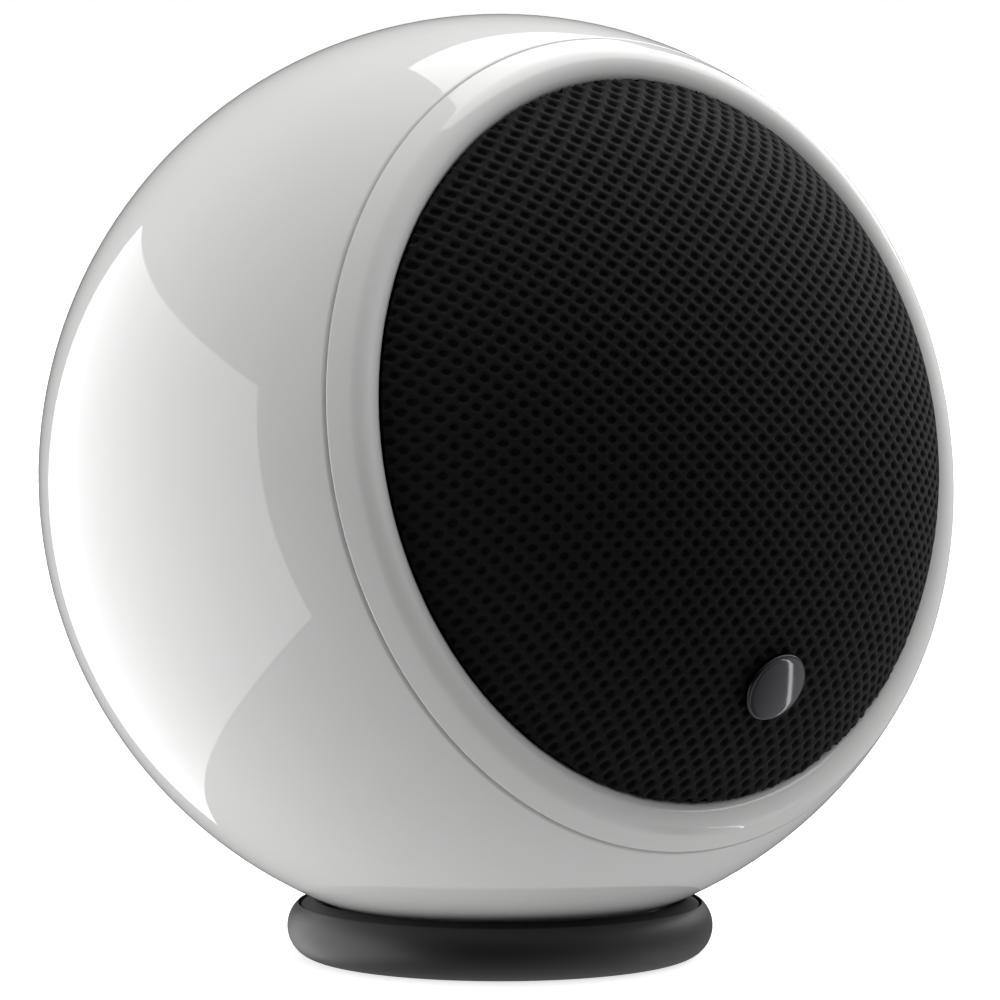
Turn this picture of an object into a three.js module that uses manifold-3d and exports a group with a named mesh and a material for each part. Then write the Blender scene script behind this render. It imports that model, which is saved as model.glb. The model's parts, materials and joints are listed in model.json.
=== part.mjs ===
// A passive satellite loudspeaker: a ball with a round driver behind a domed cloth grille,
// aimed by hand on a rubber ring. Millimetres, +Z up, the face towards -Y, origin on the
// floor under the ball's centre.
import * as THREE from 'three';
import { mergeVertices } from 'three/addons/utils/BufferGeometryUtils.js';
import Module from 'manifold-3d';

const wasm = await Module();
wasm.setup();

// ---------------------------------------------------------------- driving dimensions
const gap = 0.3; // clearance between pieces that touch or run on each other

const ballRadius = 50.8; // a 4 inch ball
const faceTilt = 11; // degrees that the face looks up at rest
const shellWall = 2.2;
const lipRadius = 2.35; // rounded lip round the grille opening
const bezelBand = 1.1; // lip's centre plane to the seam
const clothInset = 2.45; // ball surface down to the cloth

const flangeRadius = 38; // driver flange, a 3 inch driver
const flangeThick = 1.2;
const flangeSetback = 2.0; // lip's centre plane down to the flange's front
const flangeBore = 0.4; // flange edge to the bezel's bore
const gasketThick = 0.6;
const driverScrewHole = 1.9;
const driverPilot = 1.8;
const cupScrewHole = 1.3;
const baffleThick = 3;
const baffleLand = 4.4; // width of the flange that rests on the baffle
const screwInset = 2.7; // flange edge to the screw circle
const spigotWall = 2.75; // bezel wall that drops into the shell
const sealRadius = 1; // seam O-ring section
const bossRadius = 3.2;
const bossLength = 10;

const basketDepth = 22; // flange back to the basket's floor
const shelfDepth = 17.3; // flange back to the spider shelf
const spiderRadius = 23.1;
const surroundRoll = 2.2;
const surroundLedge = 2.6;
const formerRadius = 7; // middle of the former's wall
const formerWall = 0.4;
const coilWall = 0.8;
const coilHeight = 5.8;
const plateRadius = 18.8;
const plateThick = 4;
const magnetRadius = 22.5;
const magnetThick = 9;
const wireClear = 4; // hook-up wires to the magnet's side
const woolClear = 9.5; // damping wool to the magnet's side
const ventRadius = 2.2;

const clothThick = 0.6;
const grilleWall = 1.6;
const rimWidth = 1.8;
const rimDrop = 0.1; // lip's centre plane down to the rim's foot
const grilleMagnetRadius = 1.8;
const grilleMagnetThick = 1.5;
const badgeRadius = 3.9;
const badgeThick = 0.8;
const badgeInset = 9.467; // edge of the grille's rim to the badge's middle, straight below the axis

const cupRadius = 18.1; // terminal cup, outside of its wall
const cupWall = 1.5;
const cupFlange = 4; // flange beyond the cup's wall
const cupDepth = 14.8; // rear pole to the cup's floor
const ledgeDepth = 8.6; // rear pole to the ledge that the cup rests on
const ledgeThick = 1.8;
const terminalSpread = 10.6;
const barrelRadius = 3;
const barrelLength = 8.6;
const plungerTravel = 1.6;
const stemRadius = 1.9;
const insertRadius = 4.4;
const insertFlange = 6.2;
const threadRadius = 2.5; // tapping size of the M6 insert

const ringRadius = 20.5; // middle of the base ring's section
const ringHalfWidth = 3.11;
const ringHalfHeight = 3.33;
const ringHole = 16.6;
const seatOuter = 22.35; // edge of the seat insert on top of the ring
const seatInner = 17.3;
const seatContact = 20.6; // outer edge of the band that carries the ball
const pocketFloor = 2.6;

// facets round each kind of piece
const shellSides = 32;
const ringSides = 28;
const innerSides = 20;
const smallSides = 12;
const holeSides = 10;

// ---------------------------------------------------------------- derived heights
// Inside the ball, heights run along the face axis from the ball's centre.
const boreRadius = flangeRadius + flangeBore;
const lipCentre = boreRadius + lipRadius;
const lipPlane = Math.sqrt((ballRadius - lipRadius) ** 2 - lipCentre ** 2);
const seamPlane = lipPlane - bezelBand;
const flangeFront = lipPlane - flangeSetback;
const flangeBack = flangeFront - flangeThick;
const baffleFront = flangeBack - gasketThick - 2 * gap;
const baffleBack = baffleFront - baffleThick;
const screwCircle = flangeRadius - screwInset;
const clothRadius = ballRadius - clothInset;
const cupFloor = -(ballRadius - cupDepth);
const cupInside = cupFloor + cupWall;
const ledgePlane = -(ballRadius - ledgeDepth);
const seatHeight = ringHalfHeight * (1 + Math.sqrt(1 - ((seatOuter - ringRadius) / ringHalfWidth) ** 2));
const ballHeight = seatHeight + 0.4 + Math.sqrt((ballRadius + gap) ** 2 - seatContact ** 2);

// ---------------------------------------------------------------- materials
const finish = (colour, roughness, metalness = 0) =>
  new THREE.MeshStandardMaterial({ color: colour, roughness, metalness });
const whiteLacquer = finish(0xf2f2f0, 0.12);
const charcoalRubber = finish(0x2b2b2c, 0.65);
const softRubber = finish(0x1d1d1e, 0.8);
const blackCloth = finish(0x151517, 0.95);
const blackPlastic = finish(0x1a1a1b, 0.5);
const blackChrome = finish(0x35353a, 0.08, 1);
const paintedSteel = finish(0x232325, 0.45, 0.6);
const zincSteel = finish(0xb9bcc0, 0.3, 1);
const ferrite = finish(0x3a3a3d, 0.7);
const nickel = finish(0xc9c6bd, 0.2, 1);
const brass = finish(0xc6a35a, 0.3, 1);
const copper = finish(0xb5683c, 0.35, 1);
const paper = finish(0x242322, 0.9);
const amberWeave = finish(0xb98d4a, 0.85);
const phenolic = finish(0x7a5234, 0.7);
const whiteWool = finish(0xe6e4de, 1);
const redPlastic = finish(0xa81d1f, 0.4);

// ---------------------------------------------------------------- shape helpers
const radians = (angle) => (angle * Math.PI) / 180;
const degrees = (angle) => (angle * 180) / Math.PI;

// Points of an arc, its angles in degrees from the second axis towards the first.
function arc(x, y, radius, from, to, steps) {
  return Array.from({ length: steps + 1 }, (_, i) => {
    const angle = radians(from + ((to - from) * i) / steps);
    return [x + radius * Math.sin(angle), y + radius * Math.cos(angle)];
  });
}

// A closed three.js geometry as a solid for joining and cutting.
function solid(geometry) {
  const bare = geometry.clone();
  bare.deleteAttribute('normal');
  bare.deleteAttribute('uv');
  const merged = mergeVertices(bare, 1e-4);
  const corners = Array.from(merged.index.array);
  const triVerts = [];
  for (let i = 0; i < corners.length; i += 3) {
    const [a, b, c] = corners.slice(i, i + 3);
    if (a !== b && b !== c && c !== a) triVerts.push(a, b, c);
  }
  const vertProperties = merged.attributes.position.array;
  return new wasm.Manifold(
    new wasm.Mesh({ numProp: 3, vertProperties, triVerts: new Uint32Array(triVerts) }),
  );
}

const joined = (first, ...rest) => rest.reduce((sum, piece) => sum.add(piece), first);
const cutFrom = (first, ...rest) => rest.reduce((sum, piece) => sum.subtract(piece), first);

// A solid of revolution about the local Z axis from [radius, height] points.
function spun(points, segments) {
  const corners = points.map(([r, h]) => new THREE.Vector2(Math.max(r, 0), h));
  const turn = corners.reduce((sum, p, i) => sum + p.cross(corners[(i + 1) % corners.length]), 0);
  if (turn < 0) corners.reverse();
  const onAxis = corners.findIndex((p, i) => p.x === 0 && corners[(i + 1) % corners.length].x === 0);
  if (onAxis >= 0) corners.push(...corners.splice(0, onAxis + 1));
  else corners.push(corners[0].clone());
  return solid(new THREE.LatheGeometry(corners, segments).rotateX(Math.PI / 2));
}

const tube = (outer, inner, low, high, segments) =>
  spun([[inner, low], [outer, low], [outer, high], [inner, high]], segments);
const rod = (radius, low, high, segments) => tube(radius, 0, low, high, segments);

function block(width, depth, height, x, y, z) {
  return solid(new THREE.BoxGeometry(width, depth, height).translate(x, y, z));
}

// The same solid, moved or turned about the local Z axis.
const moved = (piece, x, y, z = 0) => piece.translate([x, y, z]);
const turned = (piece, degrees) => piece.rotate([0, 0, degrees]);

function prism(shape, low, high, curveSegments = 4) {
  const settings = { depth: high - low, bevelEnabled: false, curveSegments };
  return solid(new THREE.ExtrudeGeometry(shape, settings).translate(0, 0, low));
}

function hexNut(acrossCorners, hole, low, high) {
  const outline = Array.from({ length: 6 }, (_, i) => {
    const angle = radians(60 * i);
    return new THREE.Vector2(Math.cos(angle), Math.sin(angle)).multiplyScalar(acrossCorners);
  });
  return cutFrom(prism(new THREE.Shape(outline), low, high), rod(hole, low - 1, high + 1, smallSides));
}

// A round section swept along a curve, closed at both ends.
function swept(curve, radius, sides, steps) {
  const section = new THREE.Shape().absarc(0, 0, radius, 0, 2 * Math.PI, false);
  const settings = { steps, curveSegments: sides / 2, extrudePath: curve, bevelEnabled: false };
  return solid(new THREE.ExtrudeGeometry(section, settings));
}

class Helix extends THREE.Curve {
  constructor(radius, low, high, turns) {
    super();
    Object.assign(this, { radius, low, high, turns });
  }

  getPoint(t, target = new THREE.Vector3()) {
    const angle = 2 * Math.PI * this.turns * t;
    const height = this.low + (this.high - this.low) * t;
    return target.set(this.radius * Math.cos(angle), this.radius * Math.sin(angle), height);
  }
}

function mesh(name, piece, material) {
  const { vertProperties, triVerts } = piece.getMesh();
  const geometry = new THREE.BufferGeometry();
  geometry.setAttribute('position', new THREE.BufferAttribute(vertProperties, 3));
  geometry.setIndex(new THREE.BufferAttribute(triVerts, 1));
  geometry.computeVertexNormals();
  const made = new THREE.Mesh(geometry, material);
  made.name = name;
  return made;
}

const corners = [45, 135, 225, 315]; // driver screws, at the basket's arms
const quarters = [0, 90, 180, 270]; // grille magnets, between them

// ---------------------------------------------------------------- stand
function baseRing() {
  const rim = (seatOuter - ringRadius) / ringHalfWidth;
  const outside = arc(0, 0, 1, 180, degrees(Math.asin(rim)), 7).map(([x, y]) => [
    ringRadius + x * ringHalfWidth,
    ringHalfHeight * (1 + y),
  ]);
  const pocket = [[seatOuter, pocketFloor], [ringHole, pocketFloor], [ringHole, 0]];
  return spun([...outside, ...pocket], shellSides);
}

function seatInsert() {
  const reach = ballRadius + gap;
  const band = (radius) => [radius, ballHeight - Math.sqrt(reach ** 2 - radius ** 2)];
  const low = pocketFloor + gap;
  const edge = seatOuter - gap;
  const top = [[edge, seatHeight - 0.25], band(seatContact), band(19), band(seatInner)];
  return spun([[seatInner, low], [edge, low], ...top], shellSides);
}

// ---------------------------------------------------------------- ball shells
const sphereHeight = (radius, r) => Math.sqrt(radius ** 2 - r ** 2);
const polarOf = (radius, height) => degrees(Math.acos(height / radius));

function rearShell() {
  const inner = ballRadius - shellWall;
  const edge = seamPlane - gap / 2;
  const mouth = cupRadius + cupFlange + gap + 0.1;
  const hole = cupRadius + gap + 0.1;
  const ledgeBack = ledgePlane + ledgeThick;
  const outerEnd = 180 - polarOf(ballRadius, sphereHeight(ballRadius, mouth));
  const outside = [
    ...arc(0, 0, ballRadius, polarOf(ballRadius, edge), 90, 3),
    ...arc(0, 0, ballRadius, 90, outerEnd, 7).slice(1),
  ];
  const inside = arc(0, 0, inner, polarOf(inner, ledgeBack), polarOf(inner, edge), 8);
  const ledge = [[mouth, ledgePlane], [hole, ledgePlane], [hole, ledgeBack]];
  const shell = spun([...outside, ...ledge, ...inside], shellSides);
  const top = baffleBack - gap;
  const keep = spun([[0, -inner], ...arc(0, 0, inner + 0.8, 180, 0, 12)], ringSides);
  const reach = inner - screwCircle;
  const web = block(reach, 2, bossLength, screwCircle + reach / 2, 0, top - bossLength / 2);
  const boss = moved(rod(bossRadius, top - bossLength, top, smallSides), screwCircle, 0);
  const arm = joined(web, boss).intersect(keep);
  const pilot = moved(rod(driverPilot, top - bossLength + 1, top + 1, holeSides), screwCircle, 0);
  const bosses = corners.map((angle) => turned(arm, angle));
  const pilots = corners.map((angle) => turned(pilot, angle));
  const screws = cupScrewAngles.map((angle) =>
    turned(moved(rod(cupScrewHole, ledgePlane - 1, ledgeBack + 1, holeSides), cupScrewCircle, 0), angle));
  return cutFrom(joined(shell, ...bosses), ...pilots, ...screws);
}

function frontBezel() {
  const tip = degrees(Math.atan2(lipCentre, lipPlane));
  const seam = seamPlane + gap / 2;
  const outside = arc(0, 0, ballRadius, polarOf(ballRadius, seam), tip, 2).slice(0, -1);
  const lip = arc(lipCentre, lipPlane, lipRadius, tip, -90, 6);
  const spigot = boreRadius + spigotWall;
  const groove = sealPlane();
  const grooveHalf = sealRadius + gap;
  const inside = [
    [boreRadius, baffleFront], [flangeRadius - baffleLand, baffleFront],
    [flangeRadius - baffleLand, baffleBack], [spigot, baffleBack],
    [spigot, groove - grooveHalf], [spigot - sealRadius, groove - grooveHalf],
    [spigot - sealRadius, groove + grooveHalf], [spigot, groove + grooveHalf], [spigot, seam],
  ];
  const holes = corners.map((angle) =>
    turned(moved(rod(driverPilot, baffleBack - 1, baffleFront + 1, holeSides), screwCircle, 0), angle));
  return cutFrom(spun([...outside, ...lip, ...inside], shellSides), ...holes);
}

const sealPlane = () => seamPlane - sealRadius - gap - 1.2;

function sealRing() {
  const middle = boreRadius + spigotWall - sealRadius + gap + sealRadius;
  return spun(arc(middle, sealPlane(), sealRadius, 0, 315, 7), ringSides);
}

function dampingFill() {
  const outer = ballRadius - shellWall - 1;
  const low = cupInside + 4;
  const high = baffleBack - gap - bossLength - 3;
  const round = arc(0, 0, outer, polarOf(outer, high), polarOf(outer, low), 6);
  const inner = magnetRadius + woolClear;
  return spun([[inner, high], ...round, [inner, low]], innerSides);
}

// ---------------------------------------------------------------- driver
const basketFloor = flangeBack - basketDepth;
const shelf = flangeBack - shelfDepth;
const ledgeOuter = flangeRadius - 5;
const ledgeInner = ledgeOuter - surroundLedge;
const surroundBase = flangeFront - 1.3;
const coneEdge = ledgeInner + 0.4 - 2 * surroundRoll - 0.6;
const coneNeck = formerRadius + formerWall / 2 + gap;
const coneTop = surroundBase - 1.6;
const coneDepth = 11;
const coilRadius = formerRadius + formerWall / 2 + gap + coilWall;
const plateTop = basketFloor - gap;
const magnetTop = plateTop - plateThick - gap;
const yokeTop = magnetTop - magnetThick - gap;

function driverFrame() {
  const wall = 1.2;
  const ledge = surroundBase - gap;
  const outside = [
    [flangeRadius, flangeFront], [flangeRadius, flangeBack], [ledgeOuter + 0.2, flangeBack],
    [ledgeOuter + 0.2, flangeBack - 2], [ledgeOuter - 1.8, flangeBack - 5.5],
    [ledgeOuter - 3.8, flangeBack - 10], [spiderRadius + 2.5, shelf + 2.9],
    [spiderRadius + 1.5, shelf + 1.9], [spiderRadius + 1.5, shelf - 0.3],
    [plateRadius + 1.6, shelf - 1.5], [plateRadius + 0.6, basketFloor],
  ];
  const inside = [
    [coilRadius + 0.7, basketFloor], [coilRadius + 0.7, basketFloor + 1.4],
    [plateRadius - 0.6, basketFloor + 1.4], [plateRadius + 0.6, shelf],
    [spiderRadius + 0.3, shelf], [spiderRadius + 0.3, shelf + 2.5],
    [spiderRadius + 1.4, shelf + 3.6], [ledgeOuter - 5, flangeBack - 9.6],
    [ledgeOuter - 3, flangeBack - 5.1], [ledgeInner, ledge - wall], [ledgeInner, ledge],
    [ledgeOuter, ledge], [ledgeOuter, flangeFront],
  ];
  const low = shelf + 3.2;
  const high = flangeBack - 3.5;
  const window = block(20, 26, high - low, ledgeOuter - 3, 0, (low + high) / 2);
  const windows = quarters.map((angle) => turned(window, angle));
  const holes = corners.map((angle) =>
    turned(moved(rod(driverScrewHole, flangeBack - 1, flangeFront + 1, holeSides), screwCircle, 0), angle));
  return cutFrom(spun([...outside, ...inside], ringSides), ...windows, ...holes);
}

function driverGasket() {
  const low = baffleFront + gap;
  const holes = corners.map((angle) =>
    turned(moved(rod(driverScrewHole, low - 1, low + gasketThick + 1, holeSides), screwCircle, 0), angle));
  const ring = tube(flangeRadius, flangeRadius - baffleLand, low, low + gasketThick, ringSides);
  return cutFrom(ring, ...holes);
}

// A pan-head screw with a cross recess, its thread as a plain shank.
function screw(headRadius, headHeight, shankRadius, seat, end, segments) {
  const top = seat + headHeight;
  const shank = [[0, end], [shankRadius, end], [shankRadius, seat]];
  const crown = [[headRadius, seat], [headRadius, seat + headHeight * 0.5], [headRadius * 0.6, top]];
  const body = spun([...shank, ...crown, [0, top]], segments);
  const [long, wide] = [headRadius * 1.1, headRadius * 0.3];
  const cross = joined(block(long, wide, headHeight, 0, 0, top), block(wide, long, headHeight, 0, 0, top));
  return cutFrom(body, cross);
}

// A thin sheet of revolution: a line of points given a thickness along the axis.
const sheet = (points, thick) => [...points, ...points.map(([r, h]) => [r, h - thick]).reverse()];

const conePoint = (r) => {
  const along = (r - coneNeck) / (coneEdge + 0.6 - coneNeck);
  return [r, coneTop - coneDepth * (1 - along ** 0.85)];
};

function cone() {
  const steps = 4;
  const line = Array.from({ length: steps + 1 }, (_, i) =>
    conePoint(coneNeck + ((coneEdge + 0.6 - coneNeck) * i) / steps));
  return spun(sheet(line, 0.7), ringSides);
}

function surround() {
  const rollMiddle = coneEdge + 0.6 + surroundRoll;
  const flat = coneTop + gap + 0.5;
  const roll = arc(rollMiddle, surroundBase + 0.5, surroundRoll, -90, 90, 5);
  const rim = [ledgeOuter - gap, surroundBase + 0.5];
  const line = [[coneEdge - 0.9, flat], [coneEdge + 0.3, flat], ...roll, rim];
  return spun(sheet(line, 0.5), ringSides);
}

function dustCap() {
  const radius = coneNeck + 2.4;
  const rise = 3.2;
  const sphere = (radius ** 2 + rise ** 2) / (2 * rise);
  const base = conePoint(radius)[1] + gap + 0.5;
  const half = degrees(Math.asin(radius / sphere));
  const line = arc(0, base + rise - sphere, sphere, 0, half, 4);
  return spun(sheet(line, 0.5), innerSides);
}

function spider() {
  const waves = 2.5;
  const steps = 9;
  const inner = coneNeck;
  const outer = plateRadius + 0.6;
  const height = shelf + gap + 0.4;
  const line = Array.from({ length: steps + 1 }, (_, i) => {
    const along = i / steps;
    const wave = 0.6 * Math.sin(2 * Math.PI * waves * along);
    return [inner + (outer - inner) * along, height + wave];
  });
  return spun(sheet([...line, [spiderRadius, height]], 0.4), innerSides);
}

const formerLow = plateTop - plateThick - 1.2;
const former = () => {
  const half = formerWall / 2;
  const high = conePoint(coneNeck)[1] + 0.2;
  return tube(formerRadius + half, formerRadius - half, formerLow, high, innerSides);
};
const coil = () => {
  const low = formerLow + gap;
  return tube(coilRadius, coilRadius - coilWall, low, low + coilHeight, innerSides);
};
const topPlate = () => tube(plateRadius, coilRadius + gap, plateTop - plateThick, plateTop, innerSides);
const magnetBore = coilRadius + 2.7;
const ringMagnet = () => tube(magnetRadius, magnetBore, magnetTop - magnetThick, magnetTop, innerSides);

function backPlate() {
  const pole = formerRadius - formerWall / 2 - gap - 0.1;
  const low = yokeTop - plateThick;
  const outside = [[plateRadius, low], [plateRadius + 0.7, low + 0.7], [plateRadius + 0.7, yokeTop]];
  const poleLine = [[pole, yokeTop], [pole, plateTop], [ventRadius, plateTop]];
  return spun([[ventRadius, low], ...outside, ...poleLine], innerSides);
}

// ---------------------------------------------------------------- driver wiring
const wiringSide = spiderRadius + 1.5 + gap; // flat of the tag strip against the basket
const tagSpread = 4.5;

const tagStrip = () => block(14, 1, 6, 0, -(wiringSide + 0.5), shelf - 1);
const driverTag = (side) =>
  block(2.8, 0.5, 9, side * tagSpread, -(wiringSide + 1 + gap + 0.25), shelf - 0.6);

function tinselLead(side) {
  const x = side * tagSpread;
  const out = -(wiringSide + 1.6);
  const rise = shelf + 4;
  const route = [[x, -11.5, rise + 0.8], [x, -15, rise - 0.6], [x, -20, rise + 0.8], [x, out, rise + 0.6]];
  const curve = new THREE.CatmullRomCurve3(route.map((p) => new THREE.Vector3(...p)));
  return swept(curve, 0.4, 6, 10);
}

function hookUpWire(side) {
  const out = -(wiringSide + 1.6);
  const beside = -(magnetRadius + wireClear);
  const tag = cupInside + 3.3;
  const route = [
    [side * tagSpread, out, shelf - 6.2], [side * 5, beside - 1, shelf - 11],
    [side * 7, beside, magnetTop - magnetThick], [side * 10, beside + 5.8, yokeTop - plateThick - 4],
    [side * 11.5, -14, tag + 3], [side * terminalSpread, -8.2, tag + 0.5],
  ];
  const curve = new THREE.CatmullRomCurve3(route.map((p) => new THREE.Vector3(...p)));
  return swept(curve, 0.8, 8, 18);
}

// ---------------------------------------------------------------- grille
const frameRadius = clothRadius - clothThick - gap;
const rimOuter = boreRadius - 2 * gap - clothThick;
const badgePolar = degrees(Math.asin((rimOuter - badgeInset) / clothRadius));

// The dome's outline down to its edge, which rolls under the lip at a set distance
// from the lip's centre and drops beside the bore.
function domeLine(radius, clear, steps) {
  const reach = ballRadius - lipRadius;
  const open = Math.acos((radius ** 2 + reach ** 2 - clear ** 2) / (2 * radius * reach));
  const polar = Math.atan2(lipCentre, lipPlane) - open;
  const [x, y] = [radius * Math.sin(polar) - lipCentre, radius * Math.cos(polar) - lipPlane];
  const start = degrees(Math.atan2(x, y));
  const dome = arc(0, 0, radius, 0, degrees(polar), steps);
  const roll = arc(lipCentre, lipPlane, clear, start, -90, 2).slice(1);
  return [...dome, ...roll, [lipCentre - clear, lipPlane - rimDrop]];
}

function grilleCloth() {
  const outer = domeLine(clothRadius, lipRadius + gap, 6);
  const inner = domeLine(frameRadius + gap, lipRadius + gap + clothThick, 6);
  const hole = badgeAxis(rod(1.5, clothRadius - 4, clothRadius + 4, 12));
  return cutFrom(spun([...outer, ...inner.reverse()], ringSides), hole);
}

// Turns a piece built on the face axis out to the badge's place on the dome.
const badgeAxis = (piece) => piece.rotate([badgePolar, 0, 0]);

function sector(inner, outer, angle, width) {
  const half = radians(width / 2);
  const middle = radians(angle);
  const shape = new THREE.Shape();
  shape.absarc(0, 0, outer, middle - half, middle + half, false);
  shape.absarc(0, 0, inner, middle + half * 0.96, middle - half * 0.96, true);
  return prism(shape, 0, ballRadius, 2);
}

const latticeBands = [
  { inner: 5, outer: 16, count: 6, width: 50 },
  { inner: 18, outer: rimOuter - rimWidth - 1.4, count: 8, width: 40 },
];

function grilleFrame() {
  const dome = domeLine(frameRadius, lipCentre - rimOuter, 6);
  const rimInner = rimOuter - rimWidth;
  const innerRadius = frameRadius - grilleWall;
  const inside = arc(0, 0, innerRadius, degrees(Math.asin(rimInner / innerRadius)), 0, 5);
  const low = dome[dome.length - 1][1];
  const shell = spun([...dome, [rimInner, low], ...inside], ringSides);
  const windows = latticeBands.flatMap(({ inner, outer, count, width }) =>
    Array.from({ length: count }, (_, i) => sector(inner, outer, (360 / count) * (i + 0.5), width)));
  const pad = badgeAxis(rod(4.5, innerRadius, frameRadius - 0.25, 16));
  const pocketTop = flangeFront + gap + grilleMagnetThick + gap;
  const lugTop = lipPlane + 2.2;
  const lug = moved(rod(2.5, flangeFront + 2 * gap + 0.1, lugTop, 12), magnetCircle, 0);
  const pocket = moved(rod(grilleMagnetRadius + gap, flangeFront, pocketTop, 12), magnetCircle, 0);
  const stem = badgeAxis(rod(1.2, innerRadius - 3, frameRadius + 3, 12));
  const lugs = quarters.map((angle) => turned(lug, angle));
  const pockets = quarters.map((angle) => turned(pocket, angle));
  return cutFrom(joined(cutFrom(shell, ...windows), pad, ...lugs), ...pockets, stem);
}

const magnetCircle = rimOuter - 2.6;

function badge() {
  const back = clothRadius + gap;
  const front = back + badgeThick;
  const disc = [[badgeRadius, back], [badgeRadius, front - 0.2], [badgeRadius - 0.2, front]];
  const stemEnd = frameRadius - grilleWall - 1.6;
  return badgeAxis(spun([[0, stemEnd], [0.9, stemEnd], [0.9, back], ...disc, [0, front]], innerSides));
}

function badgeClip() {
  const high = frameRadius - grilleWall - gap;
  return badgeAxis(tube(2.8, 1.2, high - 0.4, high, 16));
}

// ---------------------------------------------------------------- rear terminals
const cupScrewAngles = [90, 210, 330];
const cupScrewCircle = cupRadius + 1.8;
const flangeSeat = ledgePlane - gasketThick - 2 * gap; // inner face of the cup's flange
const cupFace = flangeSeat - 1.3;

function terminalCup() {
  const edge = cupRadius + cupFlange;
  const inner = cupRadius - cupWall;
  const bowl = spun([
    [0, cupInside], [cupRadius - 1, cupInside], [cupRadius, cupInside - 1], [cupRadius, flangeSeat],
    [edge, flangeSeat], [edge, cupFace], [inner, cupFace], [inner, cupFloor + 0.8],
    [inner - 0.8, cupFloor], [0, cupFloor],
  ], ringSides);
  const through = (radius, x) => moved(rod(radius, cupFloor - 1, cupInside + 1, smallSides), x, 0);
  const screws = cupScrewAngles.map((angle) =>
    turned(moved(rod(cupScrewHole, cupFace - 1, flangeSeat + 1, holeSides), cupScrewCircle, 0), angle));
  const posts = [-1, 1].map((side) => through(stemRadius + gap, side * terminalSpread));
  return cutFrom(bowl, through(insertRadius + gap, 0), ...posts, ...screws);
}

function cupGasket() {
  const high = ledgePlane - gap;
  const ring = tube(cupRadius + cupFlange, cupRadius + 0.4, high - gasketThick, high, ringSides);
  const holes = cupScrewAngles.map((angle) =>
    turned(moved(rod(cupScrewHole, high - 2, high + 1, holeSides), cupScrewCircle, 0), angle));
  return cutFrom(ring, ...holes);
}

function mountInsert() {
  const face = cupFloor - gap - 1.7;
  const end = cupInside + 6;
  const flange = [[insertFlange - 0.3, face], [insertFlange, face + 0.3], [insertFlange, cupFloor - gap]];
  return spun([[threadRadius, face], ...flange, [insertRadius, cupFloor - gap], [insertRadius, end],
    [threadRadius, end]], innerSides);
}

const mountNut = () => hexNut(6.4, insertRadius + gap, cupInside + gap, cupInside + gap + 3);

const barrelLow = cupFloor - gap - barrelLength;
const boreEnd = cupFloor - gap - 0.4;
const crossHole = (height, radius) =>
  solid(new THREE.CylinderGeometry(radius, radius, 12, 8).translate(0, 0, height));

const barrel = () => {
  const stemEnd = cupInside + 5;
  const bore = stemRadius + gap;
  const stem = [[0, stemEnd], [stemRadius, stemEnd], [stemRadius, cupFloor - gap]];
  const body = spun([
    ...stem, [barrelRadius, cupFloor - gap], [barrelRadius, barrelLow + 0.3],
    [barrelRadius - 0.3, barrelLow], [bore, barrelLow], [bore, boreEnd], [0, boreEnd],
  ], smallSides);
  return cutFrom(body, crossHole(barrelLow + 2.6, 0.9));
};

const plunger = () => {
  const cap = barrelLow - plungerTravel - gap;
  const end = barrelLow + 4.7;
  const knob = [[barrelRadius, cap], [barrelRadius, cap - 1.2], [barrelRadius - 0.4, cap - 1.6]];
  const body = spun([[0, end], [stemRadius, end], [stemRadius, cap], ...knob, [0, cap - 1.6]], smallSides);
  return cutFrom(body, crossHole(barrelLow + 2.6 - plungerTravel, 0.9));
};

const terminalSpring = () =>
  swept(new Helix(stemRadius - 0.45, barrelLow + 5 + 0.25, boreEnd - gap - 0.25, 2.5), 0.22, 4, 24);
const collarWidth = 1.2;
const collarHeight = 2.3;
const collar = () => {
  const top = cupFloor - gap;
  return tube(barrelRadius + collarWidth, barrelRadius + gap, top - collarHeight, top, smallSides);
};
const terminalNut = () => hexNut(3.6, stemRadius + gap, cupInside + gap, cupInside + gap + 2.4);

function solderTag() {
  const low = cupInside + 3;
  const lug = tube(3.4, stemRadius + gap, low, low + 0.5, smallSides);
  return joined(lug, block(2.4, 5.2, 0.5, 0, -5.4, low + 0.25));
}

// ---------------------------------------------------------------- assembly
function onCircle(piece, radius, angle) {
  piece.position.set(radius * Math.cos(radians(angle)), radius * Math.sin(radians(angle)), 0);
  return piece;
}

const speaker = new THREE.Group();
speaker.add(mesh('base_ring', baseRing(), charcoalRubber));
speaker.add(mesh('seat_insert', seatInsert(), softRubber));

const ball = new THREE.Group(); // its own +Z is the face axis and +Y is up on the face
ball.position.z = ballHeight;
ball.rotation.x = radians(90 - faceTilt);
speaker.add(ball);

ball.add(mesh('rear_shell', rearShell(), whiteLacquer));
ball.add(mesh('front_bezel', frontBezel(), whiteLacquer));
ball.add(mesh('seam_o_ring', sealRing(), softRubber));
ball.add(mesh('damping_fill', dampingFill(), whiteWool));

const driver = new THREE.Group();
ball.add(driver);
driver.add(mesh('driver_frame', driverFrame(), paintedSteel));
driver.add(mesh('driver_gasket', driverGasket(), softRubber));
driver.add(mesh('top_plate', topPlate(), zincSteel));
driver.add(mesh('ring_magnet', ringMagnet(), ferrite));
driver.add(mesh('back_plate', backPlate(), zincSteel));
driver.add(mesh('tag_strip', tagStrip(), phenolic));
for (const angle of corners) {
  const fixing = mesh(
    `driver_screw_${corners.indexOf(angle) + 1}`,
    screw(2.6, 1.6, 1.5, flangeFront + gap, baffleBack - 7, smallSides),
    zincSteel,
  );
  driver.add(onCircle(fixing, screwCircle, angle));
}

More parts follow.
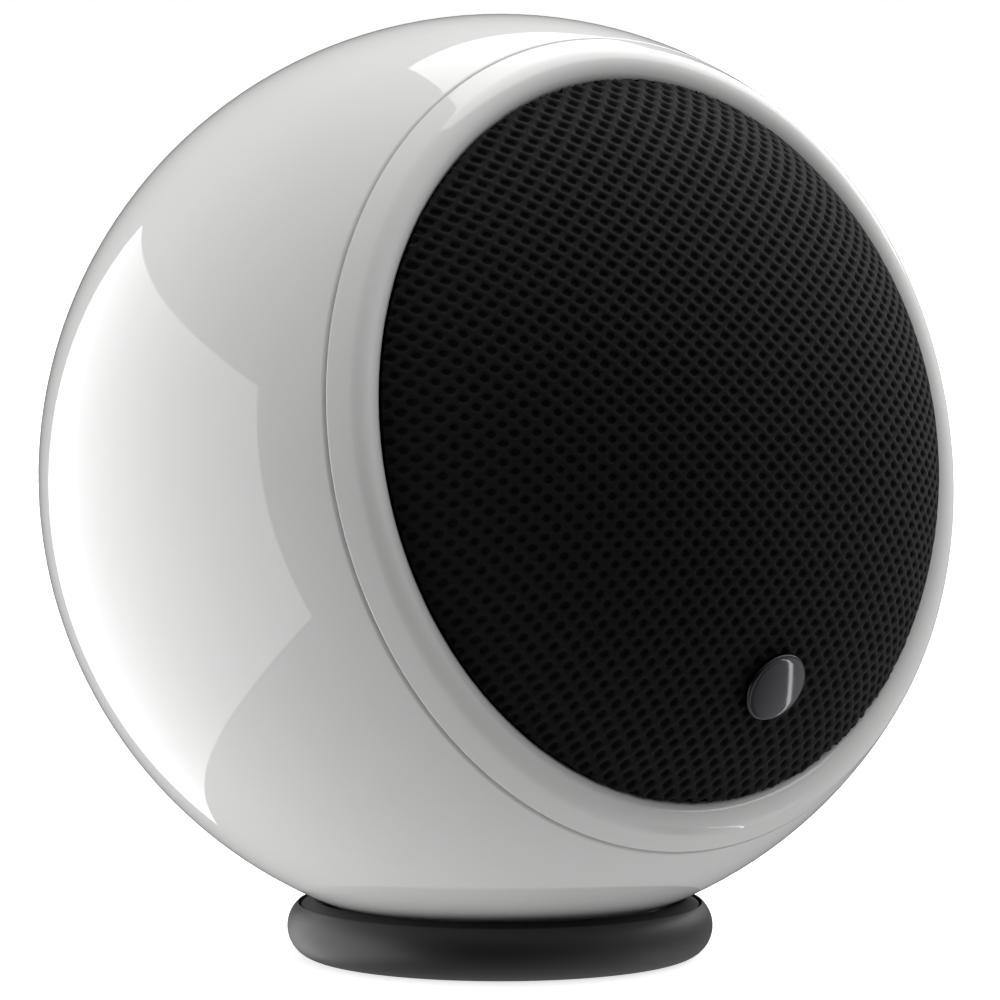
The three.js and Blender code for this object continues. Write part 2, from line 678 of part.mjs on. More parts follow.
const movingCone = new THREE.Group();
driver.add(movingCone);
movingCone.add(mesh('cone', cone(), paper));
movingCone.add(mesh('dust_cap', dustCap(), paper));
movingCone.add(mesh('surround', surround(), softRubber));
movingCone.add(mesh('spider', spider(), amberWeave));
movingCone.add(mesh('voice_coil_former', former(), amberWeave));
movingCone.add(mesh('voice_coil', coil(), copper));

const grille = new THREE.Group();
ball.add(grille);
grille.add(mesh('grille_frame', grilleFrame(), blackPlastic));
grille.add(mesh('grille_cloth', grilleCloth(), blackCloth));
grille.add(mesh('badge', badge(), blackChrome));
grille.add(mesh('badge_clip', badgeClip(), zincSteel));
for (const angle of quarters) {
  const low = flangeFront + gap;
  const magnet = mesh(
    `grille_magnet_${quarters.indexOf(angle) + 1}`,
    rod(grilleMagnetRadius, low, low + grilleMagnetThick, 12),
    nickel,
  );
  grille.add(onCircle(magnet, magnetCircle, angle));
}

const rear = new THREE.Group();
ball.add(rear);
rear.add(mesh('terminal_cup', terminalCup(), blackPlastic));
rear.add(mesh('cup_gasket', cupGasket(), softRubber));
rear.add(mesh('mount_insert', mountInsert(), brass));
rear.add(mesh('mount_nut', mountNut(), zincSteel));
for (const angle of cupScrewAngles) {
  const fixing = mesh(
    `cup_screw_${cupScrewAngles.indexOf(angle) + 1}`,
    screw(1.7, 0.9, 1, -(cupFace - gap), -(ledgePlane + ledgeThick + 1), holeSides),
    zincSteel,
  );
  fixing.rotation.x = Math.PI; // the head looks backwards
  rear.add(onCircle(fixing, cupScrewCircle, angle));
}
for (const [side, name, colour] of [[-1, 'red', redPlastic], [1, 'black', blackPlastic]]) {
  const terminal = new THREE.Group();
  terminal.position.x = side * terminalSpread;
  terminal.add(mesh(`terminal_${name}_barrel`, barrel(), nickel));
  terminal.add(mesh(`terminal_${name}_collar`, collar(), colour));
  terminal.add(mesh(`terminal_${name}_plunger`, plunger(), nickel));
  terminal.add(mesh(`terminal_${name}_spring`, terminalSpring(), zincSteel));
  terminal.add(mesh(`terminal_${name}_nut`, terminalNut(), zincSteel));
  terminal.add(mesh(`terminal_${name}_tag`, solderTag(), brass));
  rear.add(terminal);
  driver.add(mesh(`driver_tag_${name}`, driverTag(side), brass));
  driver.add(mesh(`tinsel_lead_${name}`, tinselLead(side), copper));
  driver.add(mesh(`hook_up_wire_${name}`, hookUpWire(side), colour));
}

export default speaker;
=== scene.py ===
# %% [markdown]
# # A ball loudspeaker, finished in Blender
#
# The object is a small passive loudspeaker: a gloss white ball, split by a fine seam into a rear
# shell and a front bezel, with a domed knit grille over its driver, aimed by hand on a rubber ring.
# The CAD model gives every size and every moving body. This lesson puts the fine surfaces round
# it: smooth shells, a real knit, turned metal and moulded plastic, each riding on its CAD body.

# %% Load the frame
import json
import math
import random

import bmesh
import bpy
from mathutils import Matrix, Vector, noise


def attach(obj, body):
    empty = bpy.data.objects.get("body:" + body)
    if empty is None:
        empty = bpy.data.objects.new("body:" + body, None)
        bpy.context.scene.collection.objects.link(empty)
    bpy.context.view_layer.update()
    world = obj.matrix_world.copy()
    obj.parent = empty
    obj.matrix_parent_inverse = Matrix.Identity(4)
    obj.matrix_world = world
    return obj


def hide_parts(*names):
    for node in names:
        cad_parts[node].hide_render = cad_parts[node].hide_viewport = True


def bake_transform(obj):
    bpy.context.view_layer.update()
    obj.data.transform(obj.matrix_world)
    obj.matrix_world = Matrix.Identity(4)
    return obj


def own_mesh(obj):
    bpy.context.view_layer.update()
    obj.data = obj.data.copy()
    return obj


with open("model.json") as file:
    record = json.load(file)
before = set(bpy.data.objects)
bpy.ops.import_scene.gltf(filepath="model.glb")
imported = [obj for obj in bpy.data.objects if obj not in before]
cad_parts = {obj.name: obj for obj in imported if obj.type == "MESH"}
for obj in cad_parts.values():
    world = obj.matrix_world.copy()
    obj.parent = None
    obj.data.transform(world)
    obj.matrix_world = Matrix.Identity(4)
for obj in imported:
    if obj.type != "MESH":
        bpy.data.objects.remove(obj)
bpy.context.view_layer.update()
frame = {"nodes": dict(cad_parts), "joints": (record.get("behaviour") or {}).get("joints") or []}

# %% [markdown]
# ## The ball's own frame
#
# Everything in the ball is turned about one line, the face axis, so the pieces are modelled in
# millimetres with that axis as +Z and up on the face as +Y, as the designer drew them, and one
# matrix puts them in place. The centre and the axis come from the joints of the CAD model.

# %% The face frame, and how far a node reaches in it
MM = 0.001
GAP = 0.3  # mm that touching pieces leave between them
joints = {joint["name"]: joint for joint in frame["joints"]}
BALL_CENTRE = Vector(joints["ball_tilt"]["pos_m"])
FACE = Vector(joints["grille_pull"]["axis"]).normalized()
SIDE = Vector((1, 0, 0))
FACE_UP = FACE.cross(SIDE)
TO_BALL = Matrix.Translation(BALL_CENTRE) @ Matrix((SIDE, FACE_UP, FACE)).transposed().to_4x4()
TO_BALL = TO_BALL @ Matrix.Scale(MM, 4)
TO_STAND = Matrix.Scale(MM, 4)


def span(node_name, place=TO_BALL):
    """Lowest height, highest height and largest radius of a CAD node about an axis, in mm."""
    back = place.inverted()
    points = [back @ vertex.co for vertex in frame["nodes"][node_name].data.vertices]
    heights = [point.z for point in points]
    return min(heights), max(heights), max(point.xy.length for point in points)


BALL_RADIUS = span("rear_shell")[2]
SHELL_EDGE = span("rear_shell")[1]
print(f"ball radius {BALL_RADIUS:.2f} mm, its centre {BALL_CENTRE.z / MM:.2f} mm above the floor")

# %% [markdown]
# ## Camera and studio
#
# A long lens at nearly the height of the ball keeps the sphere round. The camera looks a little
# below the ball's centre. The picture is plain: a pale floor, a pale surround, a tall softbox on
# the left that draws the long white reflection, and an eight-sided softbox above and behind that
# draws the patch over the seam. The floor is kept out of the reflections, as a studio table of
# clear glass would be, so the softbox shows whole on the lower half of the ball.

# %% Camera
CAMERA_AZIMUTH = math.radians(-40.33)
CAMERA_ELEVATION = math.radians(3.95)
CAMERA_DISTANCE = 0.7
LENS = 228.42  # mm, on a sensor 36 mm wide
AIM_DROP = 0.0027  # the optical axis passes this far below the ball's centre


def around(azimuth, elevation, distance):
    """A place at a direction from the ball's centre, its azimuth turned from the camera's."""
    turn = CAMERA_AZIMUTH + math.radians(azimuth)
    rise = math.radians(elevation)
    level = math.cos(rise)
    direction = Vector((math.sin(turn) * level, -math.cos(turn) * level, math.sin(rise)))
    return BALL_CENTRE + direction * distance


camera = bpy.data.objects.new("camera", bpy.data.cameras.new("camera"))
camera.data.lens = LENS
camera.data.sensor_width = 36
camera.location = around(0, math.degrees(CAMERA_ELEVATION), CAMERA_DISTANCE)
aim = BALL_CENTRE - Vector((0, 0, AIM_DROP))
camera.rotation_euler = (aim - camera.location).to_track_quat("-Z", "Y").to_euler()
bpy.context.scene.collection.objects.link(camera)
bpy.context.scene.camera = camera
bpy.context.scene.view_settings.view_transform = "Standard"
print("camera at", [round(x, 3) for x in camera.location])

# %% Helpers for materials


def linear(colour):
    """A linear colour from an sRGB hex value."""
    channels = [int(colour[i : i + 2], 16) / 255 for i in (1, 3, 5)]
    return (*[c / 12.92 if c <= 0.04045 else ((c + 0.055) / 1.055) ** 2.4 for c in channels], 1)


def add_node(tree, kind, settings=None, links=None):
    """Adds a node, sets its properties or input values, and links other nodes' outputs into it."""
    made = tree.nodes.new(kind)
    for key, value in (settings or {}).items():
        if isinstance(key, str) and hasattr(made, key):
            setattr(made, key, value)
        else:
            made.inputs[key].default_value = value
    for key, socket in (links or {}).items():
        tree.links.new(socket, made.inputs[key])
    return made


def new_material(slot, name, **values):
    """A material of a slot, with a Principled shader whose constant values are set on its sockets."""
    made = bpy.data.materials.new(name)
    made["slot"] = slot
    made.use_nodes = True
    made.node_tree.nodes.clear()
    settings = {key.replace("_", " "): value for key, value in values.items()}
    shader = add_node(made.node_tree, "ShaderNodeBsdfPrincipled", settings)
    output = {"Surface": shader.outputs[0]}
    add_node(made.node_tree, "ShaderNodeOutputMaterial", None, output)
    return made, made.node_tree, shader


def grained(slot, name, dark, light, roughness, grain, relief, **values):
    """A finish whose colour, roughness and relief vary with a grain of a real size in mm."""
    made, tree, shader = new_material(slot, name, **values)
    place = add_node(tree, "ShaderNodeTexCoord").outputs["Object"]
    fine = add_node(
        tree, "ShaderNodeTexNoise", {"Scale": 1 / (grain * MM), "Detail": 4.0}, {"Vector": place}
    ).outputs[0]
    broad = add_node(
        tree, "ShaderNodeTexNoise", {"Scale": 1 / (12 * MM), "Detail": 3.0}, {"Vector": place}
    ).outputs[0]
    colours = {"data_type": "RGBA", 6: linear(dark), 7: linear(light)}
    tint = add_node(tree, "ShaderNodeMix", colours, {0: broad}).outputs[2]
    limits = {"To Min": roughness[0], "To Max": roughness[1]}
    rough = add_node(tree, "ShaderNodeMapRange", limits, {"Value": fine}).outputs[0]
    bump = add_node(
        tree, "ShaderNodeBump", {"Strength": 1.0, "Distance": relief * MM}, {"Height": fine}
    ).outputs[0]
    tree.links.new(tint, shader.inputs["Base Color"])
    tree.links.new(rough, shader.inputs["Roughness"])
    tree.links.new(bump, shader.inputs["Normal"])
    return made


# %% Floor and surround


def placed(name, shape, *materials):
    """An object that holds a shape, which is freed."""
    mesh = bpy.data.meshes.new(name)
    shape.to_mesh(mesh)
    shape.free()
    for material in materials:
        mesh.materials.append(material)
    made = bpy.data.objects.new(name, mesh)
    bpy.context.scene.collection.objects.link(made)
    return made


pale_board, _, _ = new_material(
    "stage", "pale painted board", Base_Color=linear("#f2f2f2"), Roughness=0.9,
    Emission_Color=linear("#ffffff"), Emission_Strength=0.72,
)
FLOOR_RADIUS = 40.0  # metres, so that its edge is never seen
floor_shape = bmesh.new()
bmesh.ops.create_circle(floor_shape, cap_ends=True, radius=FLOOR_RADIUS, segments=96)
floor = placed("floor", floor_shape, pale_board)
floor.visible_glossy = False
floor.visible_diffuse = False
floor.visible_shadow = False

SKY_LIGHT = 0.65  # from straight above, and as much from straight below
SIDE_LIGHT = 0.5  # from the right of the camera's view
FRONT_SHADE = 0.55  # how much of the room's light the camera's own side is without
world = bpy.data.worlds.new("studio")
bpy.context.scene.world = world
world.use_nodes = True
room = world.node_tree
room.nodes.clear()
looking = add_node(room, "ShaderNodeTexCoord").outputs["Generated"]
level_x, level_y = math.cos(CAMERA_AZIMUTH), math.sin(CAMERA_AZIMUTH)
upright = (0, 0, SKY_LIGHT)
across = (level_x * SIDE_LIGHT, level_y * SIDE_LIGHT, 0)
ahead = (level_y * FRONT_SHADE, -level_x * FRONT_SHADE, 0)
sky, side, front = (
    add_node(room, "ShaderNodeVectorMath", {"operation": "DOT_PRODUCT", 1: axis}, {0: looking}).outputs[1]
    for axis in (upright, across, ahead)
)


def sum_node(operation, *terms):
    """A maths node of the room, whose terms are numbers or other nodes' outputs."""
    numbers = {i: term for i, term in enumerate(terms) if isinstance(term, float)}
    links = {i: term for i, term in enumerate(terms) if not isinstance(term, float)}
    return add_node(room, "ShaderNodeMath", {"operation": operation, **numbers}, links).outputs[0]


lit = sum_node("ADD", sum_node("ABSOLUTE", sky), sum_node("MAXIMUM", side, 0.0))
kept = sum_node("SUBTRACT", 1.0, sum_node("MAXIMUM", front, 0.0))
eye = add_node(room, "ShaderNodeLightPath").outputs["Is Camera Ray"]
seen = {0: eye, 2: sum_node("MULTIPLY", lit, kept)}
strength = add_node(room, "ShaderNodeMix", {"data_type": "FLOAT", 3: 1.0}, seen).outputs[0]
backdrop = add_node(room, "ShaderNodeBackground", {"Color": (1, 1, 1, 1)}, {"Strength": strength})
add_node(room, "ShaderNodeOutputWorld", None, {"Surface": backdrop.outputs[0]})

# %% Softboxes


def softbox(name, shape, place, brightness):
    """A glowing panel, seen by the object but not by the camera."""
    glow = bpy.data.materials.new(name)
    glow.use_nodes = True
    glow.node_tree.nodes.clear()
    light = add_node(glow.node_tree, "ShaderNodeEmission", {"Strength": brightness})
    add_node(glow.node_tree, "ShaderNodeOutputMaterial", None, {"Surface": light.outputs[0]})
    panel = placed(name, shape, glow)
    panel.matrix_world = place
    panel.visible_camera = False
    panel.visible_shadow = False
    return panel


def panel_shape(width, height):
    shape = bmesh.new()
    bmesh.ops.create_grid(shape, x_segments=1, y_segments=1, size=0.5)
    bmesh.ops.scale(shape, verts=shape.verts, vec=(width, height, 1))
    return shape


def hung(place, azimuth, elevation, lean=0.0):
    """The matrix of a panel at a place, its back along a direction from the ball, leaned by degrees."""
    away = around(azimuth, elevation, 1) - BALL_CENTRE
    turn = away.to_track_quat("-Z", "Y").to_matrix().to_4x4()
    return Matrix.Translation(place) @ turn @ Matrix.Rotation(math.radians(lean), 4, "X")


TALL_BOX = (2.3, 1.53)  # metres wide and high
softbox("tall_softbox", panel_shape(*TALL_BOX), hung(around(-104, -2.8, 1.126), -104, 0, lean=-21), 2.2)

OCTABOX_RADIUS = 1.045
octagon = bmesh.new()
bmesh.ops.create_circle(octagon, cap_ends=True, radius=OCTABOX_RADIUS, segments=8)
bmesh.ops.rotate(octagon, verts=octagon.verts, matrix=Matrix.Rotation(math.radians(13.4), 3, "Z"))
softbox("octabox", octagon, hung(around(116.8, 45.2, 1.318), 180, 53.1), 2.9)

# %% [markdown]
# ## Helpers for shapes
#
# Nearly every piece is turned on a lathe or moulded round, so one function spins an outline of
# [radius, height] points, one rounds the sharp edges that would otherwise look like paper, and
# one turns the finished shape into an object on its body, standing for its CAD nodes.

# %% Shape helpers
ROUND_STEPS = 192  # facets round the large pieces
SMALL_STEPS = 48  # and round the small ones


def arc(x, y, radius, start, end, steps):
    """Points of an arc, its angles in degrees from the second axis towards the first."""
    angles = [math.radians(start + (end - start) * i / steps) for i in range(steps + 1)]
    return [(x + radius * math.sin(a), y + radius * math.cos(a)) for a in angles]


def drawn(outline, closed):
    """A new bmesh that holds an outline as a chain of edges."""
    shape = bmesh.new()
    corners = [shape.verts.new((r, 0, h)) for r, h in outline]
    for a, b in zip(corners, corners[1:] + corners[:1] if closed else corners[1:]):
        shape.edges.new((a, b))
    return shape


def spun(outline, steps=ROUND_STEPS):
    """A body of revolution. An outline that starts and ends on the axis is left open there."""
    closed = outline[0][0] > 0 or outline[-1][0] > 0
    shape = drawn(outline, closed)
    bmesh.ops.spin(
        shape, geom=shape.verts[:] + shape.edges[:], cent=(0, 0, 0), axis=(0, 0, 1), angle=2 * math.pi,
        steps=steps, use_merge=True,
    )
    bmesh.ops.remove_doubles(shape, verts=shape.verts, dist=1e-4)
    bmesh.ops.recalc_face_normals(shape, faces=shape.faces)
    return shape


def tube(outer, inner, low, high, steps=SMALL_STEPS):
    return spun([(inner, low), (outer, low), (outer, high), (inner, high)], steps)


def soften(shape, size, sharper_than=28, segments=3):
    """Rounds every edge that turns more sharply than an angle in degrees."""
    limit = math.radians(sharper_than)
    sharp = [e for e in shape.edges if len(e.link_faces) == 2 and e.calc_face_angle(0) > limit]
    bmesh.ops.bevel(
        shape, geom=sharp, offset=size, offset_type="OFFSET", segments=segments, profile=0.5,
        affect="EDGES", clamp_overlap=True, material=-1,
    )
    return shape


def moved(shape, x=0.0, y=0.0, z=0.0, turn=0.0):
    """Moves a shape, then turns it about the axis by degrees."""
    bmesh.ops.translate(shape, verts=shape.verts, vec=(x, y, z))
    bmesh.ops.rotate(shape, verts=shape.verts, matrix=Matrix.Rotation(math.radians(turn), 3, "Z"))
    return shape


def joined(*shapes):
    """One bmesh that holds several, each still a closed body of its own."""
    whole = bmesh.new()
    for shape in shapes:
        part = bpy.data.meshes.new("part")
        shape.to_mesh(part)
        shape.free()
        whole.from_mesh(part)
        bpy.data.meshes.remove(part)
    return whole


def block(width, depth, height, x=0.0, y=0.0, z=0.0):
    shape = bmesh.new()
    bmesh.ops.create_cube(shape, size=1)
    bmesh.ops.scale(shape, verts=shape.verts, vec=(width, depth, height))
    bmesh.ops.translate(shape, verts=shape.verts, vec=(x, y, z))
    return shape


def standing_for(name, shape, finish, nodes, place=TO_BALL):
    """Makes the object in its place and hides the CAD nodes that it stands for."""
    shape.transform(place)
    made = placed(name, shape, finish)
    made.data.shade_smooth()
    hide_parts(*nodes)
    return made


def piece(name, shape, finish, body, nodes, place=TO_BALL, weighted=True):
    """A piece that rides on one body."""
    made = standing_for(name, shape, finish, nodes, place)
    if weighted:
        made.modifiers.new("even shading", "WEIGHTED_NORMAL").keep_sharp = True
    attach(made, body)
    print(f"{name}: {len(made.data.polygons)} faces")
    return made


# %% [markdown]
# ## The lacquered ball
#
# The shells are cast or moulded, sanded, and sprayed with gloss white lacquer, which flows into a
# skin as smooth as glass. A sphere from the menu would have no wall and no seam, so each shell is
# an outline with its true wall, spun about the face axis. The seam is a real gap of 0.3 mm with
# broken edges, which catch a fine line of light. The lacquer is a dielectric with an IOR of 1.5
# over white pigment, with the faint waviness that sprayed paint keeps.

# %% Gloss white lacquer
white_lacquer = grained(
    "white_lacquer", "gloss white sprayed lacquer",
    "#eeeeed", "#f3f3f2", roughness=(0.02, 0.045), grain=1.6, relief=0.0006, IOR=1.5
)

# %% Rear shell
SHELL_WALL = 2.2
SEAM_BREAK = 0.16  # radius that the paint leaves on the seam's edges
cup_reach = span("terminal_cup")[2]
ledge_plane = span("cup_gasket")[1] + GAP
MOUTH_CLEAR = 0.4
LEDGE_WIDTH = 3.6  # under the cup's flange
LEDGE_THICK = 1.8
mouth = cup_reach + MOUTH_CLEAR
ledge_inner = span("cup_gasket")[2] - LEDGE_WIDTH
ledge_back = ledge_plane + LEDGE_THICK
inner_radius = BALL_RADIUS - SHELL_WALL


def polar(radius, height):
    return math.degrees(math.acos(height / radius))


mouth_polar = 180 - math.degrees(math.asin(mouth / BALL_RADIUS))
shell_outline = arc(0, 0, BALL_RADIUS, polar(BALL_RADIUS, SHELL_EDGE), mouth_polar, 72)
shell_outline += [(mouth, ledge_plane), (ledge_inner, ledge_plane), (ledge_inner, ledge_back)]
inner_start, inner_end = polar(inner_radius, ledge_back), polar(inner_radius, SHELL_EDGE)
shell_outline += arc(0, 0, inner_radius, inner_start, inner_end, 48)
rear_shape = soften(spun(shell_outline), SEAM_BREAK)

DRIVER_SCREW = (2.6, 1.6, 1.5)  # head radius, head height and shank radius
screw_circle = span("driver_screw_1")[2] - DRIVER_SCREW[0]
PILOT_RADIUS = 1.8
WEB_THICK = 2
BOSS_RADIUS = 3.2
BOSS_LENGTH = 10
boss_top = span("front_bezel")[0] - GAP
boss_middle = boss_top - BOSS_LENGTH / 2
bosses = []
ARMS = (45, 135, 225, 315)  # the driver's screws
for angle in ARMS:
    boss = tube(BOSS_RADIUS, PILOT_RADIUS, boss_top - BOSS_LENGTH, boss_top)
    web_reach = inner_radius - screw_circle - 7
    web = block(web_reach, WEB_THICK, BOSS_LENGTH, BOSS_RADIUS + web_reach / 2 - 0.5, 0, boss_middle)
    bosses.append(moved(soften(joined(boss, web), 0.2, 40, 2), x=screw_circle, turn=angle))
piece("rear_shell_lacquered", joined(rear_shape, *bosses), white_lacquer, "ball", ["rear_shell"])

# %% Front bezel with its rounded lip
LIP_RADIUS = 2.35
bezel_back, lip_top, _ = span("front_bezel")
lip_plane = lip_top - LIP_RADIUS
lip_centre = math.sqrt((BALL_RADIUS - LIP_RADIUS) ** 2 - lip_plane**2)
bore = lip_centre - LIP_RADIUS
seam_front = SHELL_EDGE + GAP
baffle_front = span("driver_gasket")[0] - GAP
BAFFLE_LAND = 4.4
SPIGOT_WALL = 2.75
land_inner = span("driver_gasket")[2] - BAFFLE_LAND
spigot = bore + SPIGOT_WALL
lip_polar = math.degrees(math.atan2(lip_centre, lip_plane))
bezel_outline = arc(0, 0, BALL_RADIUS, polar(BALL_RADIUS, seam_front), lip_polar, 8)[:-1]
bezel_outline += arc(lip_centre, lip_plane, LIP_RADIUS, lip_polar, -90, 28)
bezel_outline += [(bore, baffle_front), (land_inner, baffle_front), (land_inner, bezel_back)]
seal_middle = (span("seam_o_ring")[0] + span("seam_o_ring")[1]) / 2
SEAL_GROOVE = 1.3  # half the groove's height
groove_back, groove_front = seal_middle - SEAL_GROOVE, seal_middle + SEAL_GROOVE
groove = spigot - 1
bezel_outline += [(spigot, bezel_back), (spigot, groove_back), (groove, groove_back)]
bezel_outline += [(groove, groove_front), (spigot, groove_front), (spigot, seam_front)]
piece(
    "front_bezel_lacquered", soften(spun(bezel_outline), SEAM_BREAK), white_lacquer, "ball", ["front_bezel"]
)
print(f"lip {lip_polar:.1f} degrees from the face axis, bore radius {bore:.2f} mm")

# %% [markdown]
# ## The ring that the ball rests on
#
# A heavy ring moulded in matt charcoal rubber, doughnut shaped, with a softer insert let into its
# top whose hollow band fits the ball. Where the two meet, the ring's lip shows as a fine ring.
# Moulded rubber scatters most light but turns shiny at a glancing angle, so its edges look pale.

# %% Matt rubbers
ring_rubber = grained(
    "ring_rubber", "matt moulded rubber",
    "#141415", "#1a1a1b", roughness=(0.42, 0.52), grain=0.35, relief=0.004, IOR=1.52
)
soft_rubber = grained(
    "soft_rubber", "soft silicone rubber",
    "#121213", "#18181a", roughness=(0.5, 0.62), grain=0.3, relief=0.003, IOR=1.43
)

# %% Base ring and seat insert
ring_reach = span("base_ring", TO_STAND)[2]
ring_half_height = 3.33
ring_half_width = 3.11
ring_middle = ring_reach - ring_half_width
seat_low, _, seat_reach = span("seat_insert", TO_STAND)
seat_outer = seat_reach + GAP
pocket_floor = seat_low - GAP
ring_hole = 16.6
rim_turn = math.degrees(math.asin((seat_outer - ring_middle) / ring_half_width))
ring_outline = [
    (ring_middle + x * ring_half_width, ring_half_height * (1 + y))
    for x, y in arc(0, 0, 1, 180, rim_turn, 40)
]
ring_outline += [(seat_outer, pocket_floor), (ring_hole, pocket_floor), (ring_hole, 0)]
piece(
    "base_ring_moulded", soften(spun(ring_outline), 0.12, 35), ring_rubber, "stand", ["base_ring"], TO_STAND
)
seat_height = ring_outline[40][1]
ball_height = BALL_CENTRE.z / MM
seat_edge = seat_outer - GAP
SEAT_CONTACT = 20.6
SEAT_INNER = 17.3
seat_outline = [(SEAT_INNER, seat_low), (seat_edge, seat_low), (seat_edge, seat_height - 0.25)]
for step in range(13):  # the hollow band that fits the ball
    reach = SEAT_CONTACT + (SEAT_INNER - SEAT_CONTACT) * step / 12
    seat_outline.append((reach, ball_height - math.sqrt((BALL_RADIUS + GAP) ** 2 - reach**2)))
piece(
    "seat_insert_moulded", soften(spun(seat_outline), 0.12, 35), soft_rubber, "seat", ["seat_insert"],
    TO_STAND,
)
print(f"ring middle {ring_middle:.2f} mm, seat height {seat_height:.2f} mm")

# %% [markdown]
# ## The knit grille cloth
#
# The cloth is a black polyester mesh knit, stretched over the dome of the grille frame and tucked
# under the lip. Threads cross as a net, and each opening is an oval pit, in rows that are offset
# by half a pitch. Its relief is what the eye reads, so it is modelled: a grid whose faces are the
# net's diamonds is laid flat, each diamond is inset twice to make a pit with a soft rim, the rims
# are rounded to ovals, and the whole sheet is then bent over the dome and under the lip.

# %% Knit polyester
PIT_PITCH = 2.27  # mm between pits along a row
ROW_PITCH = 0.98  # mm between rows
ROW_TILT = -4.1  # degrees that the rows climb towards +X
KNIT_PULL = 0.0073  # how much wider the pits are pulled for each mm towards +X
FIBRE = 0.12  # mm, the thread's own filaments, drawn as coarse as shows

knit, knit_tree, knit_shader = new_material(
    "grille_knit", "black polyester mesh knit", Roughness=0.9, IOR=1.5, Specular_IOR_Level=0.25,
    Sheen_Weight=0.04, Sheen_Roughness=0.4, Sheen_Tint=linear("#8c8c92"),
)
knit_place = add_node(knit_tree, "ShaderNodeTexCoord").outputs["Object"]
# painted shade: how dark each vertex is painted for the shade inside the knit's openings, read from the net
knit_pit_shade = add_node(knit_tree, "ShaderNodeAttribute", {"attribute_name": "pit_painted_shade"}).outputs["Fac"]
filaments = add_node(
    knit_tree, "ShaderNodeTexNoise", {"Scale": 1 / (FIBRE * MM), "Detail": 3.0}, {"Vector": knit_place}
).outputs[0]
thread = add_node(
    knit_tree, "ShaderNodeMix", {"data_type": "RGBA", 6: linear("#0a0a0b"), 7: linear("#19191c")},
    {0: filaments},
).outputs[2]
# painted shade: the threads' colour is mixed towards near black #040405 in the pits, standing in for the
# shade inside each opening
pit = add_node(
    knit_tree, "ShaderNodeMix", {"data_type": "RGBA", 7: linear("#040405")}, {0: knit_pit_shade, 6: thread}
).outputs[2]
knit_bump = add_node(
    knit_tree, "ShaderNodeBump", {"Strength": 1.0, "Distance": 0.05 * MM}, {"Height": filaments}
).outputs[0]
knit_tree.links.new(pit, knit_shader.inputs["Base Color"])
knit_tree.links.new(knit_bump, knit_shader.inputs["Normal"])

# %% The flat net and its pits
CLOTH_CLEAR = LIP_RADIUS + GAP  # cloth to the lip's centre, where it tucks under
cloth_radius = span("grille_cloth")[1]
dome_reach = BALL_RADIUS - LIP_RADIUS
tuck_cosine = (cloth_radius**2 + dome_reach**2 - CLOTH_CLEAR**2) / (2 * cloth_radius * dome_reach)
tuck_polar = math.radians(lip_polar) - math.acos(tuck_cosine)
tuck_radius = cloth_radius * math.sin(tuck_polar)
HEM = 3.6  # mm of cloth past the dome's edge
net_radius = tuck_radius + HEM

net = bmesh.new()
half_count = math.ceil(net_radius / ROW_PITCH) + 4
bmesh.ops.create_grid(net, x_segments=2 * half_count, y_segments=2 * half_count, size=half_count)
for vertex in net.verts:
    along, across = vertex.co.x, vertex.co.y
    vertex.co = ((along + across) * PIT_PITCH / 2, (across - along) * ROW_PITCH, 0)
bmesh.ops.rotate(net, verts=net.verts, matrix=Matrix.Rotation(math.radians(ROW_TILT), 3, "Z"))
for vertex in net.verts:  # the cloth is pulled tighter towards +X as it is stretched
    left = max(0.05, 1 - 2 * KNIT_PULL * vertex.co.x)
    vertex.co.x = (1 - math.sqrt(left)) / KNIT_PULL
CLOTH_SIDES = 96  # straight snips that cut the disc out
for side in range(CLOTH_SIDES):
    turn = 2 * math.pi * side / CLOTH_SIDES
    outward = Vector((math.cos(turn), math.sin(turn), 0))
    everything = net.verts[:] + net.edges[:] + net.faces[:]
    edge_point = outward * net_radius
    bmesh.ops.bisect_plane(net, geom=everything, plane_co=edge_point, plane_no=outward, clear_outer=True)
bmesh.ops.bisect_edges(net, edges=net.edges, cuts=2)
print(f"net of {len(net.faces)} diamonds, {net_radius:.1f} mm in radius")

PIT_WIDTH = 0.25  # of the diamond's width, from the pit's middle to its rim
PIT_HEIGHT = 0.24  # of the diamond's height
RIM_DROP = 0.1  # mm from the thread's crest to the pit's rim
PIT_DROP = 0.34  # mm from the crest to the pit's floor
THREAD_SAG = 0.035  # mm that the crests rise and fall
random.seed(11)
# painted shade: each vertex carries how far it is painted dark for the shade in the pits: 0 on the threads,
# 0.3 at a pit's rim, 1 at its floor
pit_shade_layer = net.verts.layers.float.new("pit_painted_shade")
for vertex in net.verts:
    vertex.co.z = -THREAD_SAG * random.random()
cut_line = net_radius * math.cos(math.pi / CLOTH_SIDES) - 0.01
diamonds = [f for f in net.faces if max(corner.co.xy.length for corner in f.verts) < cut_line]
bmesh.ops.inset_individual(net, faces=diamonds, thickness=0.1, use_even_offset=True)
for face in diamonds:
    middle = face.calc_center_median()
    reach = [corner.co - middle for corner in face.verts]
    wide, high = max(abs(r.x) for r in reach), max(abs(r.y) for r in reach)
    open_x = 2 * wide * PIT_WIDTH * random.uniform(0.9, 1.12) / 0.9
    open_y = 2 * high * PIT_HEIGHT * random.uniform(0.9, 1.12) / 0.9
    for corner, away in zip(face.verts, reach):
        turn = math.atan2(away.y / high, away.x / wide)
        corner.co = (middle.x + open_x * math.cos(turn), middle.y + open_y * math.sin(turn), -RIM_DROP)
        corner[pit_shade_layer] = 0.3
bmesh.ops.inset_individual(net, faces=diamonds, thickness=0.08, use_even_offset=True)
for face in diamonds:
    for corner in face.verts:
        corner.co.z = -PIT_DROP
        corner[pit_shade_layer] = 1.0

# %% Bend the net over the dome and under the lip
tuck_height = cloth_radius * math.cos(tuck_polar)
tuck_start = math.atan2(tuck_radius - lip_centre, tuck_height - lip_plane)


